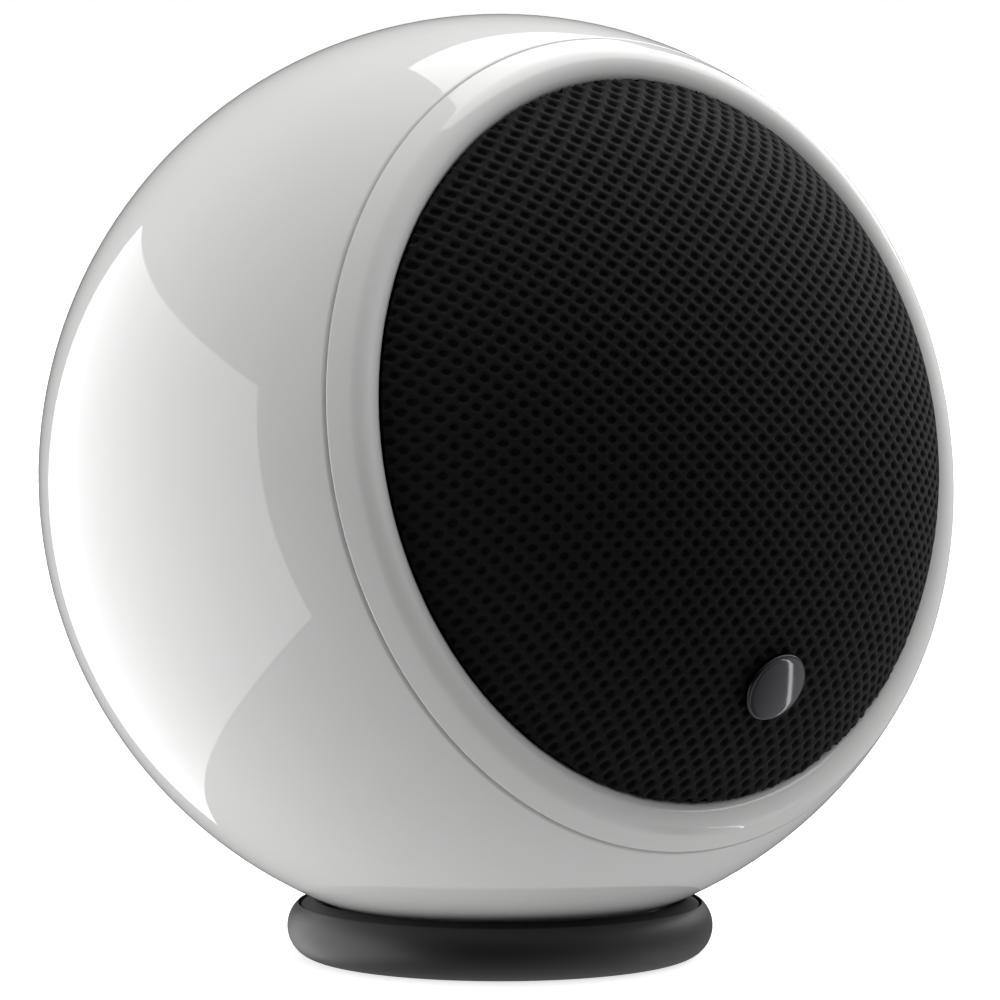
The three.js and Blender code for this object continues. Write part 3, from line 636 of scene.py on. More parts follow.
def draped(x, y, lift):
    """The place on the grille of a point of the flat net, lift mm above the cloth's crests."""
    r = math.hypot(x, y)
    if r <= tuck_radius:
        height = math.sqrt(cloth_radius**2 - r * r)
        stretch = (cloth_radius + lift) / cloth_radius
        return Vector((x * stretch, y * stretch, height * stretch))
    turn = tuck_start - (r - tuck_radius) / CLOTH_CLEAR
    clear = CLOTH_CLEAR - lift
    drop = max(0, -math.pi / 2 - turn) * CLOTH_CLEAR
    turn = max(turn, -math.pi / 2)
    out = lip_centre + clear * math.sin(turn)
    return Vector((x / r * out, y / r * out, lip_plane + clear * math.cos(turn) - drop))


for vertex in net.verts:
    vertex.co = draped(*vertex.co)
bmesh.ops.recalc_face_normals(net, faces=net.faces)
grille_cloth = piece("grille_cloth_knit", net, knit, "grille", ["grille_cloth"], weighted=False)

# %% [markdown]
# ## Cutting holes
#
# Windows, screw holes and cross recesses go right through a turned or moulded piece, as a
# punch or a core pin makes them. Blender's exact boolean cuts them, on short-lived objects.

# %% Cut


def cut(shape, *cutters):
    """The shape with the cutters, which don't touch each other, taken away."""
    body, tool = placed("body", shape), placed("tool", joined(*cutters))
    difference = body.modifiers.new("cut", "BOOLEAN")
    difference.object = tool
    difference.operation = "DIFFERENCE"
    difference.solver = "EXACT"
    evaluated = body.evaluated_get(bpy.context.evaluated_depsgraph_get())
    result = bmesh.new()
    result.from_mesh(evaluated.to_mesh())
    evaluated.to_mesh_clear()
    for used in (body, tool):
        mesh = used.data
        bpy.data.objects.remove(used)
        bpy.data.meshes.remove(mesh)
    bmesh.ops.remove_doubles(result, verts=result.verts, dist=1e-5)
    return result


def rod(radius, low, high, steps=SMALL_STEPS):
    return spun([(0, low), (radius, low), (radius, high), (0, high)], steps)


# %% [markdown]
# ## The badge
#
# A small plain disc of steel, polished, slightly crowned and plated in black chrome, with a fine
# chamfer. It stands proud of the cloth on a stem that a spring clip holds behind the grille.
# Black chrome is a dark metal mirror, so it shows the room darkly, with its lights drawn sharp.

# %% Black chrome
black_chrome = grained(
    "black_chrome", "black chrome plate",
    "#3f3f42", "#47474a", roughness=(0.03, 0.06), grain=0.8, relief=0.0003, Metallic=1.0
)

# %% Badge disc and stem
BADGE_POLAR = 35
TO_BADGE = TO_BALL @ Matrix.Rotation(math.radians(BADGE_POLAR), 4, "X")
badge_low, badge_front, badge_radius = span("badge", TO_BADGE)
BADGE_THICK = 0.8
BADGE_CROWN = 0.12  # mm that the middle stands above the edge
BADGE_CHAMFER = 0.2
badge_back = badge_front - BADGE_THICK
crown_radius = (badge_radius**2 + BADGE_CROWN**2) / (2 * BADGE_CROWN)
badge_outline = [(0, badge_low), (0.9, badge_low), (0.9, badge_back), (badge_radius, badge_back)]
badge_outline += [(badge_radius, badge_front - BADGE_CROWN - BADGE_CHAMFER)]
badge_outline += [(badge_radius - BADGE_CHAMFER, badge_front - BADGE_CROWN)]
face_turn = math.degrees(math.asin((badge_radius - BADGE_CHAMFER) / crown_radius))
badge_outline += arc(0, badge_front - crown_radius, crown_radius, face_turn, 0, 12)[1:]
badge = piece(
    "badge_disc", soften(spun(badge_outline, 96), 0.05, 30, 2), black_chrome, "grille", ["badge"], TO_BADGE
)

# %% [markdown]
# A polished disc shows only what hangs where it points, here low on the right of the camera. Two
# small cards hang there: one that brightens from left to right, and in front of it a thin strip.
# No other part of the object points at them, so they light the disc alone.

# %% Cards that the badge mirrors
badge_normal = (TO_BADGE.to_3x3() @ Vector((0, 0, 1))).normalized()
camera_turn = camera.rotation_euler.to_matrix()
picture_right, picture_up, toward_camera = (camera_turn @ Vector(axis) for axis in Matrix.Identity(3))


def mirrored(direction):
    """A direction as the badge's face turns it round."""
    return direction - 2 * direction.dot(badge_normal) * badge_normal


card_right, card_up, card_away = mirrored(picture_right), mirrored(picture_up), -mirrored(toward_camera)
CARD_REACH = 1.0  # metres from the ball to the card


def card(name, width, height, aside, lean, distance, brightness):
    """A softbox where the badge mirrors it, a share of its distance to one side, leaned by degrees."""
    turn = Matrix((card_right, card_up, card_away)).transposed().to_4x4()
    turn = turn @ Matrix.Rotation(math.radians(lean), 4, "Z")
    place = BALL_CENTRE + (card_away + card_right * aside) * distance
    return softbox(name, panel_shape(width, height), Matrix.Translation(place) @ turn, brightness)


CARD_SIZE = 0.5
STRIP_WIDTH = 0.013
STRIP_ASIDE = 0.055
STRIP_LEAN = 20  # degrees, so that the crowned disc shows it upright
graded = card("graded_card", CARD_SIZE, CARD_SIZE, 0, 0, CARD_REACH, 1.0)
card("strip_card", STRIP_WIDTH, CARD_SIZE, STRIP_ASIDE, STRIP_LEAN, CARD_REACH - 0.02, 6.0)
graded_tree = graded.data.materials[0].node_tree
across_card = add_node(graded_tree, "ShaderNodeTexCoord").outputs["Generated"]
card_x = add_node(graded_tree, "ShaderNodeSeparateXYZ", None, {0: across_card}).outputs[0]
grade = {"From Min": 0.3, "From Max": 0.7, "To Min": 0.25, "To Max": 1.2}
card_light = add_node(graded_tree, "ShaderNodeMapRange", grade, {"Value": card_x}).outputs[0]
card_glow = next(node for node in graded_tree.nodes if node.type == "EMISSION")
graded_tree.links.new(card_light, card_glow.inputs["Strength"])
print("badge mirrors the direction", [round(x, 3) for x in card_away])

# %% [markdown]
# ## The grille frame
#
# Under the cloth sits a moulded dome with two rings of windows, open enough for the sound to
# pass and stiff enough to hold the cloth taut. Four lugs at its rim carry the magnets that hold
# the grille in the bezel, and a flat pad carries the badge. It is turned as one dome with its
# wall, and the windows are cut through it as the mould's cores leave them. Satin black plastic
# has an IOR of 1.53 and a fine spark-eroded grain.

# %% Satin black plastic and plated magnets
black_plastic = grained(
    "black_plastic", "satin black moulded plastic",
    "#131314", "#1a1a1b", roughness=(0.36, 0.5), grain=0.25, relief=0.004, IOR=1.53
)
nickel = grained(
    "nickel", "bright nickel plate",
    "#bdb9ae", "#cbc8bf", roughness=(0.12, 0.2), grain=0.5, relief=0.0008, Metallic=1.0
)

# %% Grille frame
CLOTH_THICK = 0.6
FRAME_WALL = 1.6
RIM_WIDTH = 1.8
frame_low, frame_radius, _ = span("grille_frame")
rim_outer = bore - 2 * GAP - CLOTH_THICK
rim_clear = lip_centre - rim_outer
frame_inner = frame_radius - FRAME_WALL
rim_inner = rim_outer - RIM_WIDTH


def dome_line(radius, clear, steps):
    """A dome's outline from its pole down to its edge, which rolls in beside the lip."""
    turned_in = (radius**2 + dome_reach**2 - clear**2) / (2 * radius * dome_reach)
    edge = math.radians(lip_polar) - math.acos(turned_in)
    start = math.atan2(radius * math.sin(edge) - lip_centre, radius * math.cos(edge) - lip_plane)
    dome = arc(0, 0, radius, 0, math.degrees(edge), steps)
    return dome + arc(lip_centre, lip_plane, clear, math.degrees(start), -90, 8)[1:]


def sector(inner, outer, low, high, middle, width):
    """A piece of a tube, between two angles."""
    shape = drawn([(inner, low), (outer, low), (outer, high), (inner, high)], True)
    bmesh.ops.contextual_create(shape, geom=shape.edges)
    turn = math.radians(width)
    whole = shape.verts[:] + shape.edges[:] + shape.faces[:]
    bmesh.ops.spin(shape, geom=whole, cent=(0, 0, 0), axis=(0, 0, 1), angle=turn, steps=12)
    bmesh.ops.recalc_face_normals(shape, faces=shape.faces)
    return moved(shape, turn=middle - width / 2)


frame_outline = dome_line(frame_radius, rim_clear, 40)
frame_outline += [(rim_outer, lip_plane - 0.1), (rim_inner, lip_plane - 0.1)]
inner_turn = math.degrees(math.asin(rim_inner / frame_inner))
frame_outline += arc(0, 0, frame_inner, inner_turn, 0, 32)
WINDOW_RINGS = [(5, 16, 6, 50), (18, rim_inner - 1.4, 8, 40)]  # inner and outer radius, count, degrees
windows = [
    sector(inner, outer, 20, BALL_RADIUS, 360 / count * (i + 0.5), width)
    for inner, outer, count, width in WINDOW_RINGS
    for i in range(count)
]
frame_dome = soften(cut(spun(frame_outline), *windows), 0.12, 40, 2)
magnet_low, magnet_high, magnet_reach = span("grille_magnet_1")
MAGNET_RADIUS = 1.8
magnet_circle = magnet_reach - MAGNET_RADIUS
LUG_RADIUS = 2.5
PAD_RADIUS = 4.5
STEM_HOLE = 1.2
lug_top = lip_plane + 2.2
pocket = MAGNET_RADIUS + GAP
lug_outline = [(0, magnet_high + GAP), (pocket, magnet_high + GAP), (pocket, frame_low)]
lug_outline += [(LUG_RADIUS, frame_low), (LUG_RADIUS, lug_top), (0, lug_top)]
QUARTERS = (0, 90, 180, 270)
lugs = [moved(spun(lug_outline, SMALL_STEPS), x=magnet_circle, turn=turn) for turn in QUARTERS]
pad = soften(tube(PAD_RADIUS, STEM_HOLE, frame_inner, frame_radius - 0.25), 0.1, 40, 2)
bmesh.ops.rotate(pad, verts=pad.verts, matrix=Matrix.Rotation(math.radians(BADGE_POLAR), 3, "X"))
piece("grille_frame_moulded", joined(frame_dome, pad, *lugs), black_plastic, "grille", ["grille_frame"])
for number, turn in enumerate(QUARTERS, 1):
    disc = soften(rod(MAGNET_RADIUS, magnet_low, magnet_high), 0.12, 40, 2)
    name = f"grille_magnet_{number}"
    moved(disc, x=magnet_circle, turn=turn)
    piece(f"{name}_plated", disc, nickel, "grille", [name])

# %% [markdown]
# ## The driver
#
# Behind the grille is a three inch driver: a pressed steel basket with four arms, painted black,
# a paper cone with a domed dust cap, and a rubber half roll round its edge. Its motor is a
# ferrite ring between two zinc plated steel plates. Each is a turned outline with its true wall.
# Paper is a rough dielectric that drinks the light; zinc plate is a metal with a soft sheen.

# %% Driver finishes
painted_steel = grained(
    "painted_steel", "black enamelled steel",
    "#1a1a1c", "#222224", roughness=(0.3, 0.42), grain=0.9, relief=0.006, IOR=1.5
)
zinc_steel = grained(
    "zinc_steel", "zinc plated steel",
    "#a9adb2", "#babdc2", roughness=(0.24, 0.36), grain=0.4, relief=0.0015, Metallic=1.0
)
ferrite = grained(
    "ferrite", "sintered ferrite",
    "#2e2e31", "#3a3a3e", roughness=(0.5, 0.7), grain=0.2, relief=0.006, IOR=2.2
)
cone_paper = grained(
    "cone_paper", "pressed cone paper",
    "#1c1b1a", "#282725", roughness=(0.82, 0.95), grain=0.3, relief=0.02, IOR=1.5
)

# %% Basket
flange_back = span("driver_gasket")[1] + GAP
basket_floor, flange_front, flange_radius = span("driver_frame")
SHELF_RISE = 4.7  # mm from the basket's floor to the shelf that holds the spider
shelf = basket_floor + SHELF_RISE
spider_radius = span("spider")[2]
plate_radius = span("top_plate")[2]
coil_radius = span("voice_coil")[2]
cone_top, cone_reach = span("cone")[1:]
roll_base = cone_top + 1.6
ledge = roll_base - GAP
ledge_outer = flange_radius - 5
ledge_inside = ledge_outer - 2.6
basket_outline = [
    (flange_radius, flange_front), (flange_radius, flange_back), (ledge_outer + 0.2, flange_back),
    (ledge_outer + 0.2, flange_back - 2), (ledge_outer - 1.8, flange_back - 5.5),
    (ledge_outer - 3.8, flange_back - 10), (spider_radius + 2.5, shelf + 2.9),
    (spider_radius + 1.5, shelf + 1.9), (spider_radius + 1.5, shelf - 0.3),
    (plate_radius + 1.6, shelf - 1.5), (plate_radius + 0.6, basket_floor),
    (coil_radius + 0.7, basket_floor), (coil_radius + 0.7, basket_floor + 1.4),
    (plate_radius - 0.6, basket_floor + 1.4), (plate_radius + 0.6, shelf), (spider_radius + 0.3, shelf),
    (spider_radius + 0.3, shelf + 2.5), (spider_radius + 1.4, shelf + 3.6),
    (ledge_outer - 5, flange_back - 9.6), (ledge_outer - 3, flange_back - 5.1),
    (ledge_inside, ledge - 1.2), (ledge_inside, ledge), (ledge_outer, ledge),
    (ledge_outer, flange_front),
]
window_low, window_high = shelf + 3.2, flange_back - 3.5
window_middle = (window_low + window_high) / 2
basket_windows = [
    moved(block(20, 26, window_high - window_low, ledge_outer - 3, 0, window_middle), turn=turn)
    for turn in QUARTERS
]
screw_holes = [
    moved(rod(1.9, flange_back - 1, flange_front + 1), x=screw_circle, turn=turn) for turn in ARMS
]
basket_shape = cut(spun(basket_outline), *basket_windows, *screw_holes)
piece("driver_frame_pressed", soften(basket_shape, 0.15, 32, 2), painted_steel, "ball", ["driver_frame"])

# %% Screws
CROSS_LONG = 1.1  # the recess across the head, as a share of the head's radius
CROSS_WIDE = 0.26
THREAD_ROOT = 0.78  # of the shank's radius
SCREW_PITCH = 0.8


def screw(head_radius, head_height, shank_radius, seat, end):
    """A pan head screw with a cross recess, and rings for its thread."""
    root = shank_radius * THREAD_ROOT
    outline = [(0, end), (shank_radius * 0.6, end)]
    for turn in range(int((seat - end - 1) / SCREW_PITCH)):
        low = end + SCREW_PITCH * (turn + 0.5)
        outline += [(root, low), (shank_radius, low + SCREW_PITCH / 2)]
    outline += [(root, seat - 0.4), (root, seat), (head_radius, seat)]
    crown = arc(0, 0, 1, 90, 0, 10)
    outline += [(head_radius * x**0.7, seat + head_height * (0.35 + 0.65 * y)) for x, y in crown]
    outline[-1] = (0, seat + head_height)
    top = seat + head_height
    long, wide = head_radius * CROSS_LONG, head_radius * CROSS_WIDE
    shape = cut(spun(outline, SMALL_STEPS), block(long, wide, head_height, 0, 0, top))
    return cut(shape, block(wide, long, head_height * 0.98, 0, 0, top))


screw_end, screw_top, _ = span("driver_screw_1")
for number, turn in enumerate(ARMS, 1):
    fixing = screw(*DRIVER_SCREW, screw_top - DRIVER_SCREW[1], screw_end)
    moved(fixing, x=screw_circle, turn=turn)
    name = f"driver_screw_{number}"
    piece(f"{name}_plated", fixing, zinc_steel, "ball", [name])

# %% Cone and dust cap
cone_neck = span("voice_coil_former")[2] + GAP
CONE_DEPTH = 11
CONE_PAPER = 0.7
RIB = 0.16  # mm of relief in the cone's pressed rings


def cone_height(radius):
    along = (radius - cone_neck) / (cone_reach - cone_neck)
    rib = RIB * math.sin(along * 7 * math.pi) if 0.25 < along < 0.9 else 0
    return cone_top - CONE_DEPTH * (1 - along**0.85) - abs(rib)


CONE_STEPS = 64
cone_radii = [cone_neck + (cone_reach - cone_neck) * i / CONE_STEPS for i in range(CONE_STEPS + 1)]
cone_face = [(r, cone_height(r)) for r in cone_radii]
cone_back = [(r, h - CONE_PAPER) for r, h in reversed(cone_face)]
piece("cone_pressed", spun(cone_face + cone_back), cone_paper, "cone", ["cone"])

cap_low, cap_top, cap_reach = span("dust_cap")
CAP_THICK = 0.5
cap_rise = cap_top - cap_low - CAP_THICK
cap_sphere = (cap_reach**2 + cap_rise**2) / (2 * cap_rise)
cap_turn = math.degrees(math.asin(cap_reach / cap_sphere))
cap_face = arc(0, cap_top - cap_sphere, cap_sphere, 0, cap_turn, 16)
cap_inside = [(r, h - CAP_THICK) for r, h in reversed(cap_face)]
piece("dust_cap_pressed", spun(cap_face + cap_inside), cone_paper, "cone", ["dust_cap"])

# %% [markdown]
# ## The soft edge and the spider
#
# The rubber roll and the corrugated cloth spider are fixed to the basket at their outer edges
# and to the cone at their inner edges. Each is made of sixteen equal sectors laid edge to edge,
# set in place once. The spider is cotton cloth stiffened with amber resin, a moulded part.

# %% Ring sectors
SECTORS = 16
amber_weave = grained(
    "amber_weave", "amber resin on cotton",
    "#8a6430", "#b98d4a", roughness=(0.6, 0.8), grain=0.45, relief=0.05, IOR=1.52
)


def bending_ring(name, node, outline, finish):
    """Sectors of a ring spun from an outline, each set in place in the scene."""
    for number in range(SECTORS):
        shape = drawn(outline, True)
        turn = 2 * math.pi / SECTORS
        edges = shape.verts[:] + shape.edges[:]
        bmesh.ops.spin(shape, geom=edges, cent=(0, 0, 0), axis=(0, 0, 1), angle=turn, steps=12)
        bmesh.ops.recalc_face_normals(shape, faces=shape.faces)
        moved(shape, turn=math.degrees(turn) * number)
        made = standing_for(f"{name}_{number}", shape, finish, [node])
        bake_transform(made)
    print(f"{name}: {SECTORS} sectors")


roll_radius = 2.2
roll_middle = cone_reach + roll_radius
RUBBER = 0.5
flat = cone_top + GAP + RUBBER
edge_inner = cone_reach - 1.5
roll_face = [(edge_inner, flat), (cone_reach - 0.3, flat)]
roll_face += arc(roll_middle, roll_base + RUBBER, roll_radius, -90, 90, 18)
roll_face += [(ledge_outer - GAP, roll_base + RUBBER)]
roll_back = [(ledge_outer - GAP, roll_base)]
roll_back += arc(roll_middle, roll_base, roll_radius - RUBBER, 90, -90, 18)
roll_back += [(cone_reach - 0.1, flat - RUBBER), (edge_inner, flat - RUBBER)]
bending_ring("surround_roll", "surround", roll_face + roll_back, soft_rubber)

WAVES = 2.5
WAVE_HEIGHT = 0.6
SPIDER_STEPS = 48
SPIDER_CLOTH = 0.4
spider_height = shelf + GAP + SPIDER_CLOTH
spider_face = []
for step in range(SPIDER_STEPS + 1):
    along = step / SPIDER_STEPS
    wave = WAVE_HEIGHT * math.sin(2 * math.pi * WAVES * along)
    reach = cone_neck + (plate_radius + 0.6 - cone_neck) * along
    spider_face.append((reach, spider_height + wave))
spider_face.append((spider_radius, spider_height))
spider_back = [(r, h - SPIDER_CLOTH) for r, h in reversed(spider_face)]
bending_ring("spider_cloth", "spider", spider_face + spider_back, amber_weave)

# %% Motor
copper = grained(
    "copper", "enamelled copper winding",
    "#9a5830", "#c07a48", roughness=(0.25, 0.4), grain=0.2, relief=0.01, Metallic=1.0
)
former_low, former_high, former_reach = span("voice_coil_former")
coil_low, coil_high, _ = span("voice_coil")
plate_low, plate_high, _ = span("top_plate")
magnet_base, magnet_top, magnet_radius = span("ring_magnet")
yoke_low, pole_top, yoke_reach = span("back_plate")
yoke_top = magnet_base - GAP
FORMER_WALL = 0.4
COIL_WALL = 0.8
MAGNET_CLEAR = 2.7  # the coil to the magnet's bore
MOTOR_STEPS = 96
pole = former_reach - FORMER_WALL - GAP - 0.1
VENT = 2.2
yoke_outline = [(VENT, yoke_low), (yoke_reach - 0.7, yoke_low), (yoke_reach, yoke_low + 0.7)]
yoke_outline += [(yoke_reach, yoke_top), (pole, yoke_top), (pole, pole_top), (VENT, pole_top)]
former = tube(former_reach, former_reach - FORMER_WALL, former_low, former_high, MOTOR_STEPS)
coil = tube(coil_radius, coil_radius - COIL_WALL, coil_low, coil_high, MOTOR_STEPS)
top_plate = tube(plate_radius, coil_radius + GAP, plate_low, plate_high, MOTOR_STEPS)
ring_magnet = tube(magnet_radius, coil_radius + MAGNET_CLEAR, magnet_base, magnet_top, MOTOR_STEPS)
back_plate = spun(yoke_outline, MOTOR_STEPS)
motor = [
    ("former_wound", former, amber_weave, "cone", "voice_coil_former"),
    ("coil_wound", soften(coil, 0.1, 40, 2), copper, "cone", "voice_coil"),
    ("top_plate_turned", soften(top_plate, 0.2, 40, 2), zinc_steel, "ball", "top_plate"),
    ("magnet_ground", soften(ring_magnet, 0.4, 40, 3), ferrite, "ball", "ring_magnet"),
    ("back_plate_turned", soften(back_plate, 0.2, 40, 2), zinc_steel, "ball", "back_plate"),
]
for name, shape, finish, body, node in motor:
    piece(name, shape, finish, body, [node])

# %% [markdown]
# ## The back of the ball
#
# A moulded cup is let into the back of the shell and held by three small screws. In it sit a
# threaded brass insert for a wall bracket and two push terminals: turned, nickel plated posts
# with a cross hole for the wire, a coloured collar, and a sprung cap that opens the hole.

# %% Terminal cup
cup_inside = span("mount_nut")[0] - GAP
CUP_WALL = 1.5
cup_floor = cup_inside - CUP_WALL
cup_face = span("terminal_cup")[0]
flange_seat = cup_face + 1.3
CUP_FLANGE = 4
cup_outer = cup_reach - CUP_FLANGE
cup_inner = cup_outer - CUP_WALL
post_low, post_high, post_reach = span("terminal_red_barrel")
POST_RADIUS = 3
STEM_RADIUS = 1.9
post_spread = post_reach - POST_RADIUS
cup_outline = [(0, cup_inside)]
cup_outline += [(cup_outer, cup_inside), (cup_outer, flange_seat), (cup_reach, flange_seat)]
cup_outline += [(cup_reach, cup_face), (cup_inner, cup_face), (cup_inner, cup_floor), (0, cup_floor)]
CUP_SCREWS = (90, 210, 330)
CUP_SCREW = (1.7, 0.9, 1)  # head radius, head height and shank radius
cup_screw_circle = cup_outer + 1.8
insert_low, insert_high, insert_reach = span("mount_insert")
INSERT_RADIUS = 4.4
cup_holes = [rod(INSERT_RADIUS + GAP, cup_floor - 1, cup_inside + 1)]
cup_holes += [
    moved(rod(STEM_RADIUS + GAP, cup_floor - 1, cup_inside + 1), x=side * post_spread) for side in (-1, 1)
]
cup_holes += [
    moved(rod(1.3, cup_face - 1, flange_seat + 1), x=cup_screw_circle, turn=turn) for turn in CUP_SCREWS
]
piece(
    "terminal_cup_moulded", soften(cut(spun(cup_outline), *cup_holes), 0.3, 40, 3), black_plastic,
    "ball", ["terminal_cup"],
)
for number, turn in enumerate(CUP_SCREWS, 1):
    name = f"cup_screw_{number}"
    low, high, _ = span(name)
    fixing = screw(*CUP_SCREW, -(low + CUP_SCREW[1]), -high)
    bmesh.ops.rotate(fixing, verts=fixing.verts, matrix=Matrix.Rotation(math.pi, 3, "X"))
    moved(fixing, x=cup_screw_circle, turn=turn)
    piece(f"{name}_plated", fixing, zinc_steel, "ball", [name])

# %% Threaded insert
brass = grained(
    "brass", "turned brass",
    "#b08d48", "#c9a760", roughness=(0.2, 0.32), grain=0.3, relief=0.002, Metallic=1.0
)
THREAD_RADIUS = 2.5
THREAD_PITCH = 1.0
insert_outline = [(insert_reach, insert_low), (insert_reach, cup_floor - GAP)]
insert_outline += [(INSERT_RADIUS, cup_floor - GAP), (INSERT_RADIUS, insert_high)]
insert_outline += [(THREAD_RADIUS + 0.5, insert_high)]
for turn in range(int((insert_high - insert_low) / THREAD_PITCH)):
    low = insert_high - THREAD_PITCH * (turn + 0.5)
    insert_outline += [(THREAD_RADIUS, low), (THREAD_RADIUS + 0.5, low - THREAD_PITCH / 2)]
insert_outline[-1] = (THREAD_RADIUS + 0.5, insert_low)
piece("insert_turned", soften(spun(insert_outline, 96), 0.12, 70, 2), brass, "ball", ["mount_insert"])

# %% Push terminals
red_plastic = grained(
    "red_plastic", "red moulded plastic",
    "#96181a", "#a81d1f", roughness=(0.3, 0.42), grain=0.3, relief=0.003, IOR=1.53
)
CROSS_HOLE = 0.9


def cross_hole(height):
    """A rod through a post, from its front to its back, for the wire's hole."""
    hole = rod(CROSS_HOLE, -6, 6)
    bmesh.ops.rotate(hole, verts=hole.verts, matrix=Matrix.Rotation(math.pi / 2, 3, "X"))
    return moved(hole, z=height)


bore_end = cup_floor - GAP - 0.4
wire_height = post_low + 2.6
cap_end, stem_end, _ = span("terminal_red_plunger")
TRAVEL = 1.6
cap_back = post_low - TRAVEL - GAP
stem_bore = STEM_RADIUS + GAP
post_back = cup_floor - GAP
post_outline = [(0, post_high), (STEM_RADIUS, post_high), (STEM_RADIUS, post_back)]
post_outline += [(POST_RADIUS, post_back), (POST_RADIUS, post_low), (stem_bore, post_low)]
post_outline += [(stem_bore, bore_end), (0, bore_end)]
plunger_outline = [(0, stem_end), (STEM_RADIUS, stem_end), (STEM_RADIUS, cap_back)]
plunger_outline += [(POST_RADIUS, cap_back), (POST_RADIUS, cap_end), (0, cap_end)]
for side, name, finish in ((-1, "red", red_plastic), (1, "black", black_plastic)):
    post = spun(post_outline, SMALL_STEPS)
    post = moved(soften(cut(post, cross_hole(wire_height)), 0.12, 40, 2), x=side * post_spread)
    piece(f"post_{name}", post, nickel, "ball", [f"terminal_{name}_barrel"])
    plunger = spun(plunger_outline, SMALL_STEPS)
    plunger = soften(cut(plunger, cross_hole(wire_height - TRAVEL)), 0.2, 40, 3)
    moved(plunger, x=side * post_spread)
    piece(f"push_{name}", plunger, nickel, f"{name}_plunger", [f"terminal_{name}_plunger"])
    collar_low, collar_high, collar_far = span(f"terminal_{name}_collar")
    collar = tube(collar_far - post_spread, POST_RADIUS + GAP, collar_low, collar_high)
    moved(soften(collar, 0.25, 40, 3), x=side * post_spread)
    piece(f"collar_{name}", collar, finish, "ball", [f"terminal_{name}_collar"])

# %% [markdown]
# ## Springs, leads and wires
#
# A spring wire is drawn round a helix, and leads are strands that sag between their ends. One
# helper carries a round section along a line of points. The springs are drawn at one length,
# and the tinsel leads in one shape between the basket and the cone.

# %% Swept wires


def smooth_line(points, steps=8):
    """A line through every point, smooth at each."""
    ends = [points[0] * 2 - points[1], *points, points[-1] * 2 - points[-2]]
    line = []
    for a, b, c, d in zip(ends, ends[1:], ends[2:], ends[3:]):
        for step in range(steps):
            t = step / steps
            bend = (a * 2 - b * 5 + c * 4 - d) * t * t + (b * 3 - a - c * 3 + d) * t**3
            line.append((b * 2 + (c - a) * t + bend) / 2)
    return line + [points[-1]]


def swept(line, radius, sides=12):
    """A round section carried along a line, closed at both ends."""
    shape = bmesh.new()
    rings = []
    for before, at, after in zip([line[0], *line], line, [*line[1:], line[-1]]):
        turn = (after - before).to_track_quat("Z", "Y").to_matrix()
        angles = [2 * math.pi * i / sides for i in range(sides)]
        ring = [shape.verts.new(at + turn @ Vector((math.cos(a), math.sin(a), 0)) * radius) for a in angles]
        rings.append([shape.edges.new((a, b)) for a, b in zip(ring, ring[1:] + ring[:1])])
    for one, next_one in zip(rings, rings[1:]):
        bmesh.ops.bridge_loops(shape, edges=one + next_one)
    for end in (rings[0], rings[-1]):
        bmesh.ops.contextual_create(shape, geom=end)
    bmesh.ops.recalc_face_normals(shape, faces=shape.faces)
    return shape


# %% Terminal springs and tinsel leads
SPRING_WIRE = 0.22
SPRING_TURNS = 2.5
SPRING_CLEAR = 0.45  # the bore's wall to the middle of the wire, less the gap
SPRING_STEPS = 96
spring_low, spring_high, _ = span("terminal_red_spring")
for side, name in ((-1, "red"), (1, "black")):
    line = []
    for step in range(SPRING_STEPS + 1):
        along = step / SPRING_STEPS
        turn = 2 * math.pi * SPRING_TURNS * along
        height = spring_low + SPRING_WIRE + (spring_high - spring_low - 2 * SPRING_WIRE) * along
        reach = STEM_RADIUS - SPRING_CLEAR
        line.append(Vector((side * post_spread + reach * math.cos(turn), reach * math.sin(turn), height)))
    spring = piece(
        f"spring_{name}", swept(line, SPRING_WIRE, 8), zinc_steel, "ball", [f"terminal_{name}_spring"],
        weighted=False,
    )
    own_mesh(spring)

TAG_SPREAD = 4.5
LEAD_RADIUS = 0.4
lead_out = -(spider_radius + 1.5 + GAP + 1.6)
lead_height = shelf + 4
for side, name in ((-1, "red"), (1, "black")):
    x = side * TAG_SPREAD
    route = [(-11.5, 0.8), (-15, -0.6), (-20, 0.8), (lead_out, 0.6)]
    line = smooth_line([Vector((x, y, lead_height + rise)) for y, rise in route])
    names = [f"tinsel_lead_{name}"]
    lead = standing_for(f"lead_{name}", swept(line, LEAD_RADIUS), copper, names)
    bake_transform(lead)

# %% [markdown]
# ## Wadding
#
# A loose ring of white polyester wadding lies round the magnet and soaks up sound. It is a soft
# torus whose surface is pushed in and out by broad noise, so it looks teased out by hand.

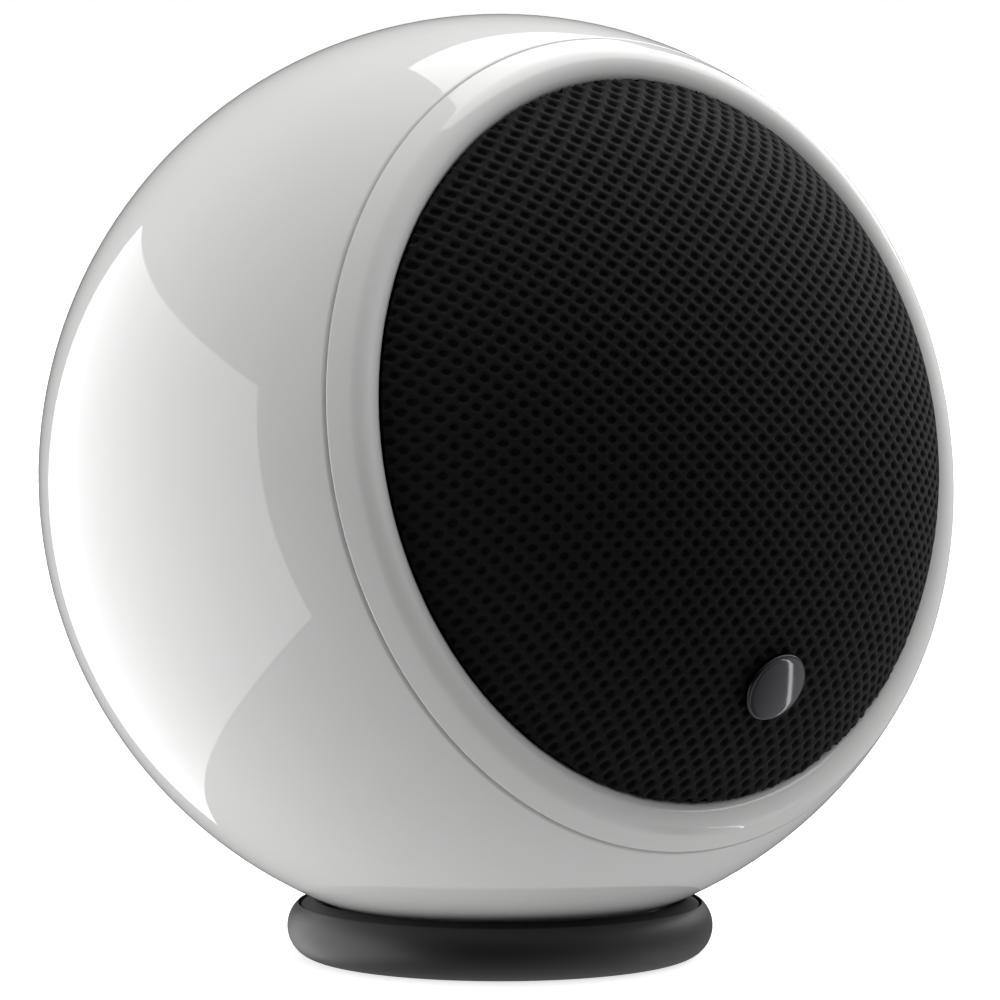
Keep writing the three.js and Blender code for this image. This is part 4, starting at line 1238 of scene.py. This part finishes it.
# %% Damping wadding
white_wool = grained(
    "white_wool", "white polyester wadding",
    "#d8d6d0", "#eceae6", roughness=(0.9, 1.0), grain=0.4, relief=0.15, IOR=1.5
)
wool_low, wool_high, _ = span("damping_fill")
WOOL_LUMP = 0.9  # mm that the lumps stand in from the cabinet's wall
wool_outer = inner_radius - 1
wool_inner = magnet_radius + 9.5
wool_outline = [(wool_inner, wool_low + (wool_high - wool_low) * i / 8) for i in range(9)]
wool_outline += arc(0, 0, wool_outer, polar(wool_outer, wool_low), polar(wool_outer, wool_high), 12)
wool = soften(spun(wool_outline, 96), 1.2, 40, 3)
wool_middle = Vector(((wool_inner + wool_outer) / 2, 0, (wool_low + wool_high) / 2))
for vertex in wool.verts:
    lump = 0.5 + 0.5 * noise.noise(vertex.co / 5)
    around_axis = Vector((vertex.co.x, vertex.co.y, 0)).normalized() * wool_middle.x
    inward = (around_axis + Vector((0, 0, wool_middle.z)) - vertex.co).normalized()
    vertex.co += inward * WOOL_LUMP * lump
damping = piece("damping_wadding", wool, white_wool, "ball", ["damping_fill"], weighted=False)

# %% [markdown]
# ## Small hidden parts
#
# The O-ring, gaskets, nuts, tags and wires are inside the ball or under a flange. Their CAD
# shapes are already what they are, so they keep them and only take a real finish.

# %% Finishes on the small parts
phenolic = grained(
    "phenolic", "brown phenolic board",
    "#5e3d25", "#7a5234", roughness=(0.5, 0.65), grain=0.35, relief=0.01, IOR=1.6
)
red_cover = grained(
    "red_insulation", "red wire insulation",
    "#8e1a1c", "#a22022", roughness=(0.4, 0.5), grain=0.5, relief=0.002, IOR=1.54
)
black_cover = grained(
    "black_insulation", "black wire insulation",
    "#151516", "#1c1c1d", roughness=(0.4, 0.5), grain=0.5, relief=0.002, IOR=1.54
)
small_parts = {
    soft_rubber: ["seam_o_ring", "driver_gasket", "cup_gasket"], phenolic: ["tag_strip"],
    brass: ["driver_tag_red", "driver_tag_black", "terminal_red_tag", "terminal_black_tag"],
    zinc_steel: ["badge_clip", "mount_nut", "terminal_red_nut", "terminal_black_nut"],
    red_cover: ["hook_up_wire_red"], black_cover: ["hook_up_wire_black"],
}
for finish, names in small_parts.items():
    for name in names:
        frame["nodes"][name].material_slots[0].material = finish
    print(f"{finish.name}: {', '.join(names)}")
